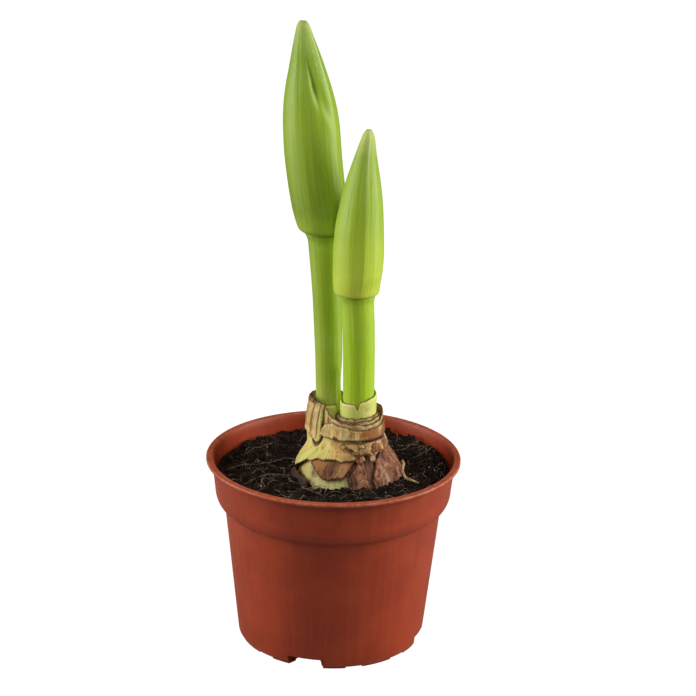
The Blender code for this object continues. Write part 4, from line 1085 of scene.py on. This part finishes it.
def tubes(routes, radii, sides=6):
    # one mesh of thin round tubes along routes of points
    points, faces, start = [], [], 0
    for route, radius in zip(routes, radii):
        route = np.asarray(route, float)
        count = len(route)
        ahead = np.gradient(route, axis=0)
        ahead /= np.linalg.norm(ahead, axis=1)[:, None] + 1e-9
        side = np.cross(ahead, [0.13, 0.27, 0.95])
        side /= np.linalg.norm(side, axis=1)[:, None] + 1e-9
        up = np.cross(side, ahead)
        turn = np.arange(sides) * 2 * math.pi / sides
        size = np.broadcast_to(radius, (count,))[:, None, None]
        ring = route[:, None, :] + size * (np.cos(turn)[None, :, None] * side[:, None, :]
                                           + np.sin(turn)[None, :, None] * up[:, None, :])
        points.append(ring.reshape(-1, 3))
        points.append(route[[0, -1]])
        for face in gridFaces(count, sides, True):
            faces.append(tuple(face[::-1] + start))
        last = start + (count - 1) * sides
        for j in range(sides):
            k = (j + 1) % sides
            faces.append((start + count * sides, start + j, start + k))
            faces.append((start + count * sides + 1, last + k, last + j))
        start += count * sides + 2
    return np.concatenate(points), faces


def smoothRoute(points, count):
    points = np.asarray(points, float)
    t = np.concatenate([[0], np.cumsum(np.linalg.norm(np.diff(points, axis=0), axis=1))])
    table = np.column_stack([t, points])
    at = np.linspace(0, t[-1], count)
    return np.column_stack([along(table, at, k) for k in (1, 2, 3)])


# soil

soil = {"radius": 58.75, "edgeZ": 89.0, "bulbZ": 88.0, "rightRise": 2.2,
        "bulbCentre": (8.4, -2.2), "sunkHalf": (24.0, 21.5), "clearHalf": (27.6, 24.8), "clearRadius": 57.6,
        "wallInside": ((45.55, 7.3), (47.2, 13.3), (53.85, 73.8), (58.4, 81.0)),
        "crumbs": 5200, "clods": 620, "perlite": 46, "seed": 77}


def broadLumps(x, y):
    # the broad lumps, as the CAD model has them
    spot = [Vector((a, b, 0.0)) for a, b in zip(np.ravel(x), np.ravel(y))]
    values = [1.0 * noise.noise(p * 0.16) + 0.55 * noise.noise(p * 0.42 + Vector((5, 3, 1))) for p in spot]
    return np.array(values).reshape(np.shape(x))


def soilTop(x, y):
    x, y = np.asarray(x, float), np.asarray(y, float)
    fromBulb = np.hypot(x - soil["bulbCentre"][0], y - soil["bulbCentre"][1])
    level = soil["bulbZ"] + (soil["edgeZ"] - soil["bulbZ"]) * ramp(28.0, 50.0, fromBulb)
    return level + soil["rightRise"] * ramp(-10.0, 50.0, x) + 1.6 * broadLumps(x, y)


def outOfBulb(x, y, half, more=0.0):
    # 1 on an oval round the bulb, and more outside it
    middleX, middleY = soil["bulbCentre"]
    return ((x - middleX) / (half[0] + more)) ** 2 + ((y - middleY) / (half[1] + more)) ** 2


def buildSoil():
    sides, ringCount = 260, 90
    angles = np.arange(sides) * 2 * math.pi / sides
    radii = soil["radius"] * (1 - np.arange(ringCount)[:, None] / ringCount)
    x, y = radii * np.cos(angles), radii * np.sin(angles)
    fine = 0.55 * wobble(x, y, 0, 2.6, 80) + 0.35 * wobble(x, y, 5, 1.2, 81)
    top = soilTop(x, y) + fine * ramp(0, 1.5, soil["radius"] - radii) - 0.35
    top = top - 2.5 * (1 - ramp(0.8, 1.0, outOfBulb(x, y, soil["sunkHalf"])))
    wall = np.array(soil["wallInside"])[:, :, None] + 0 * angles
    points, faces = loft(np.concatenate([wall[:, 0] * np.cos(angles), x]),
                         np.concatenate([wall[:, 0] * np.sin(angles), y]), np.concatenate([wall[:, 1], top]))
    makePiece("soil_bed", points, faces, soilMaterial(), "soil")


def scatterSpots(dice, count, nearBulb=0.0):
    # even spots over the soil, clear of the bulb and the wall
    spots = []
    while len(spots) < count:
        radius = soil["clearRadius"] * math.sqrt(dice.random())
        angle = dice.random() * 2 * math.pi
        x, y = radius * math.cos(angle), radius * math.sin(angle)
        if outOfBulb(x, y, soil["clearHalf"], nearBulb) > 1:
            spots.append((x, y))
    return np.array(spots)


def ballPoints():
    g = (1 + math.sqrt(5)) / 2
    points = np.array([(-1, g, 0), (1, g, 0), (-1, -g, 0), (1, -g, 0), (0, -1, g), (0, 1, g), (0, -1, -g),
                       (0, 1, -g), (g, 0, -1), (g, 0, 1), (-g, 0, -1), (-g, 0, 1)], float)
    faces = np.array([(0, 11, 5), (0, 5, 1), (0, 1, 7), (0, 7, 10), (0, 10, 11), (1, 5, 9), (5, 11, 4),
                      (11, 10, 2), (10, 7, 6), (7, 1, 8), (3, 9, 4), (3, 4, 2), (3, 2, 6), (3, 6, 8),
                      (3, 8, 9), (4, 9, 5), (2, 4, 11), (6, 2, 10), (8, 6, 7), (9, 8, 1)])
    return points / np.linalg.norm(points[0]), faces


def finerBall():
    points, faces = ballPoints()
    points, index, made = list(map(tuple, points)), {}, []

    def middle(a, b):
        key = (min(a, b), max(a, b))
        if key not in index:
            m = np.array(points[a]) + np.array(points[b])
            points.append(tuple(m / np.linalg.norm(m)))
            index[key] = len(points) - 1
        return index[key]

    for a, b, c in faces:
        ab, bc, ca = middle(a, b), middle(b, c), middle(c, a)
        made += [(a, ab, ca), (b, bc, ab), (c, ca, bc), (ab, bc, ca)]
    return np.array(points), np.array(made)


def lumps(dice, spots, sizes, ball, squash, sink):
    base, baseFaces = ball
    points, faces = [], []
    tops = soilTop(spots[:, 0], spots[:, 1])
    for k, ((x, y), size, top) in enumerate(zip(spots, sizes, tops)):
        turned = Matrix.Rotation(dice.random() * 6.28, 3, Vector(dice.normal(size=3)).normalized())
        shape = base * (1 + 0.32 * (dice.random((len(base), 1)) - 0.5) * 2)
        shape = shape * (1.0, 0.6 + 0.5 * dice.random(), squash + 0.35 * dice.random())
        shape = shape @ np.array(turned) * size
        shape = shape + (x, y, top - 0.35 + size * sink)
        points.append(shape)
        faces.append(baseFaces + k * len(base))
    return np.concatenate(points), np.concatenate(faces)


def buildCrumbs():
    dice = np.random.default_rng(soil["seed"])
    spots = scatterSpots(dice, soil["crumbs"])
    sizes = 0.28 + 0.75 * dice.random(len(spots)) ** 2.2
    points, faces = lumps(dice, spots, sizes, ballPoints(), 0.6, 0.35)
    makePiece("soil_crumbs", points, faces, soilMaterial("peat crumbs", 0.3), None, smooth=False)
    spots = scatterSpots(dice, soil["clods"])
    sizes = 0.8 + 1.5 * dice.random(len(spots)) ** 1.8
    points, faces = lumps(dice, spots, sizes, finerBall(), 0.55, 0.25)
    makePiece("soil_clods", points, faces, soilMaterial("peat clods", 0.15), None, smooth=False)
    spots = scatterSpots(dice, soil["perlite"])
    sizes = 0.25 + 0.4 * dice.random(len(spots))
    points, faces = lumps(dice, spots, sizes, ballPoints(), 0.7, 0.9)
    white = plainMaterial("perlite", (214, 208, 196), (160, 150, 136), 0.7)
    makePiece("soil_perlite", points, faces, white, None, smooth=False)


def overSoil(route):
    # each point of a route is (x, y, height over the soil)
    return [(x, y, float(soilTop([x], [y])[0]) + lift) for x, y, lift in route]


fibreKinds = (
    {"name": "dark", "count": 210, "length": (4, 16), "radius": (0.07, 0.16), "rise": 2.4, "bend": 0.22,
     "colour": (74, 52, 38), "darker": (40, 27, 20)},
    {"name": "pale", "count": 170, "length": (4, 22), "radius": (0.06, 0.12), "rise": 2.6, "bend": 0.25,
     "colour": (190, 170, 142), "darker": (128, 104, 80)},
    {"name": "red", "count": 60, "length": (3, 9), "radius": (0.10, 0.2), "rise": 1.6, "bend": 0.4,
     "colour": (138, 78, 56), "darker": (84, 44, 32)},
)
rootlets = {"colour": (158, 130, 110), "darker": (98, 74, 60),
            "routes": (((-12.6, -27.5, 1.0), (-10.4, -29.4, 2.4), (-7.4, -28.6, 2.8), (-5.6, -30.8, 1.8),
                        (-7.8, -33.0, 1.2)),
                       ((-14.4, -24.6, 0.8), (-15.2, -28.0, 2.0), (-12.4, -31.0, 2.6), (-8.6, -31.8, 1.4),
                        (-5.0, -34.0, 0.8)),
                       ((-9.0, -26.0, 1.4), (-6.0, -26.6, 3.0), (-3.4, -28.6, 2.0), (-3.8, -31.0, 1.0)),
                       ((-17.3, 7.5, 2.2), (-24.0, 7.2, 3.4), (-31.0, 3.6, 2.8), (-38.6, 0.6, 1.8),
                        (-46.0, -2.4, 2.6), (-54.0, -5.0, 1.2)),
                       ((-20.0, -8.6, 0.9), (-25.0, -12.0, 2.4), (-32.4, -13.6, 2.0), (-39.6, -17.6, 1.2),
                        (-44.0, -24.0, 0.8)),
                       ((30.0, 22.0, 1.0), (36.6, 20.4, 3.0), (42.2, 22.6, 4.6), (45.6, 20.8, 6.4)),
                       ((41.0, 12.6, 1.0), (43.8, 9.4, 3.6), (47.8, 9.0, 5.2), (50.4, 11.4, 7.0)))}


def buildFibres():
    dice = np.random.default_rng(soil["seed"] + 1)
    for kind in fibreKinds:
        routes, radii = [], []
        for x, y in scatterSpots(dice, kind["count"], 1.0):
            length = kind["length"][0] + (kind["length"][1] - kind["length"][0]) * dice.random() ** 1.6
            heading, turnRate = dice.random() * 6.28, dice.normal() * kind["bend"]
            rise = 0.3 + kind["rise"] * dice.random() ** 1.6
            track = []
            for k in range(10):
                track.append((x, y, k / 9))
                heading += turnRate + dice.normal() * 0.18
                x += math.cos(heading) * length / 10
                y += math.sin(heading) * length / 10
            track = np.array(track)
            if np.hypot(track[:, 0], track[:, 1]).max() > soil["clearRadius"]:
                continue
            if outOfBulb(track[:, 0], track[:, 1], soil["clearHalf"]).min() < 1:
                continue
            arch = rise * np.sin(math.pi * np.clip(track[:, 2] * 1.1, 0, 1))
            z = soilTop(track[:, 0], track[:, 1]) + 0.25 + arch
            routes.append(smoothRoute(np.column_stack([track[:, :2], z]), 14))
            thick = kind["radius"][0] + (kind["radius"][1] - kind["radius"][0]) * dice.random() ** 2
            radii.append(np.linspace(1, 0.45, 14) * thick)
        points, faces = tubes(routes, radii, 5)
        makePiece(f"soil_fibres_{kind['name']}", points, faces,
                  plainMaterial(kind["name"] + " fibre", kind["colour"], kind["darker"], 0.75), None)
    routes = [smoothRoute(overSoil(route), 40) for route in rootlets["routes"]]
    radii = [np.linspace(0.2, 0.1, 40) for _ in routes]
    points, faces = tubes(routes, radii, 7)
    material = plainMaterial("rootlets", rootlets["colour"], rootlets["darker"], 0.7)
    makePiece("soil_rootlets", points, faces, material, None)


buildSoil()
buildCrumbs()
buildFibres()
print("soil made")

# leaf tip and dry root

leafTip = {"foot": (2.49, 3.3, 112.3), "tip": (1.9, 3.5, 144.0), "half": 1.8, "blunt": 0.35, "thick": 0.32,
           "turned": (0.68, 0.73)}


def buildLeafTip():
    (footX, footY, foot), (tipX, tipY, tip) = leafTip["foot"], leafTip["tip"]
    t = np.linspace(0, 1, 60)[:, None]
    turn = np.arange(24)[None, :] * 2 * math.pi / 24
    lengthwise = np.cos(turn) * (leafTip["half"] * (1 - t) ** 0.6 + leafTip["blunt"])
    across = np.sin(turn) * leafTip["thick"]
    c, s = leafTip["turned"]
    x = footX + (tipX - footX) * t + lengthwise * c - across * s
    y = footY + (tipY - footY) * t + lengthwise * s + across * c
    z = foot + (tip - foot) * t + 0 * turn
    points, faces = loft(x, y, z)
    none = np.zeros(len(points))
    marks = {"flow": withEnds(np.stack([lengthwise, z, 0 * z], -1)), "foldShade": none, "keel": none,
             "rise": withEnds((z - foot) / (tip - foot), 0, 1)}
    look = dict(stems["short"]["look"], seed=31.0, pitch=0.4)
    makePiece("leaf_tip_blade", points, faces, plantMaterial("leaf tip", look), "leaf_tip", marks)


dryRoot = {"colour": (206, 172, 126), "darker": (150, 108, 70), "points": 60,
           "radius": ((0, 0.3, 0.7, 1), (0.7, 0.8, 0.75, 0.4)),
           "route": ((35.0, -7.6, 7.4), (35.6, -9.8, 6.8), (35.0, -12.4, 4.6), (35.4, -15.4, 3.2),
                     (37.2, -18.4, 2.4), (40.2, -20.6, 2.0), (43.2, -21.8, 1.7))}


def buildRoot():
    count = dryRoot["points"]
    route = smoothRoute(overSoil(dryRoot["route"]), count)
    radius = np.interp(np.linspace(0, 1, count), *dryRoot["radius"])
    radius = radius * (1 + 0.12 * wobble(np.arange(count) * 0.5, 0, 0, 1.0, 90))
    points, faces = tubes([route], [radius], 12)
    material = plainMaterial("root", dryRoot["colour"], dryRoot["darker"], 0.7, 500.0, 0.2)
    makePiece("dry_root_skin", points, faces, material, "dry_root")


buildLeafTip()
buildRoot()

# floor, lights and camera

studio = {"floorColour": (150, 150, 150), "floorGlow": 1.16, "world": 0.08,
          "lights": (("right box", (0.8, -0.06, 0.36), (0.5, 0.8), 8.6),
                     ("left box", (-0.8, 0.0, 0.36), (0.5, 0.8), 7.2),
                     ("top box", (0.0, -0.42, 0.66), (0.34, 0.34), 1.5)),
          "aim": (0.0, 0.0, 0.13)}


def buildStudio():
    floor = bpy.data.meshes.new("floor")
    floor.from_pydata([(-30, -30, 0), (30, -30, 0), (30, 30, 0), (-30, 30, 0)], [], [(0, 1, 2, 3)])
    made = bpy.data.objects.new("floor", floor)
    bpy.context.scene.collection.objects.link(made)
    material, tree, shader = newMaterial("floor")
    shader.inputs["Base Color"].default_value = srgb(*studio["floorColour"])
    shader.inputs["Roughness"].default_value = 0.9
    # a pale sweep: it glows softly where it is looked at and casts no colour on the pot
    glow = tree.nodes.new("ShaderNodeEmission")
    glow.inputs["Color"].default_value = (1, 1, 1, 1)
    glow.inputs["Strength"].default_value = studio["floorGlow"]
    blend = tree.nodes.new("ShaderNodeMixShader")
    seen = tree.nodes.new("ShaderNodeLightPath").outputs["Is Camera Ray"]
    feed(tree, times(tree, seen, 0.9), blend.inputs["Fac"])
    feed(tree, shader.outputs[0], blend.inputs[1])
    feed(tree, glow.outputs[0], blend.inputs[2])
    feed(tree, blend.outputs[0], tree.nodes["Material Output"].inputs["Surface"])
    floor.materials.append(material)
    world = bpy.data.worlds.new("studio")
    bpy.context.scene.world = world
    world.use_nodes = True
    world.node_tree.nodes["Background"].inputs["Color"].default_value = (1, 1, 1, 1)
    world.node_tree.nodes["Background"].inputs["Strength"].default_value = studio["world"]
    for name, spot, size, power in studio["lights"]:
        light = bpy.data.lights.new(name, "AREA")
        light.shape = "RECTANGLE"
        light.size, light.size_y = size
        light.energy = power
        lamp = bpy.data.objects.new(name, light)
        bpy.context.scene.collection.objects.link(lamp)
        lamp.location = spot
        lamp.rotation_euler = (Vector(spot) - Vector(studio["aim"])).to_track_quat("Z", "Y").to_euler()


# the photo's angle, in metres
view = {"place": (0.006283, -0.90941, 0.46224), "right": (0.99979, 0.00660, 0.01951),
        "up": (-0.02060, 0.32026, 0.94711), "lens": 99.01, "sensor": 36.0, "far": 100.0}


def buildCamera():
    lens = bpy.data.cameras.new("camera")
    lens.lens = view["lens"]
    lens.sensor_width = view["sensor"]
    lens.clip_end = view["far"]
    camera = bpy.data.objects.new("camera", lens)
    bpy.context.scene.collection.objects.link(camera)
    right, up = Vector(view["right"]), Vector(view["up"])
    back = right.cross(up).normalized()
    up = back.cross(right).normalized()
    turned = Matrix((right.normalized(), up, back)).transposed().to_4x4()
    camera.matrix_world = Matrix.Translation(view["place"]) @ turned
    bpy.context.scene.camera = camera


buildStudio()
buildCamera()
bpy.context.scene.view_settings.view_transform = "Standard"
print("studio made")
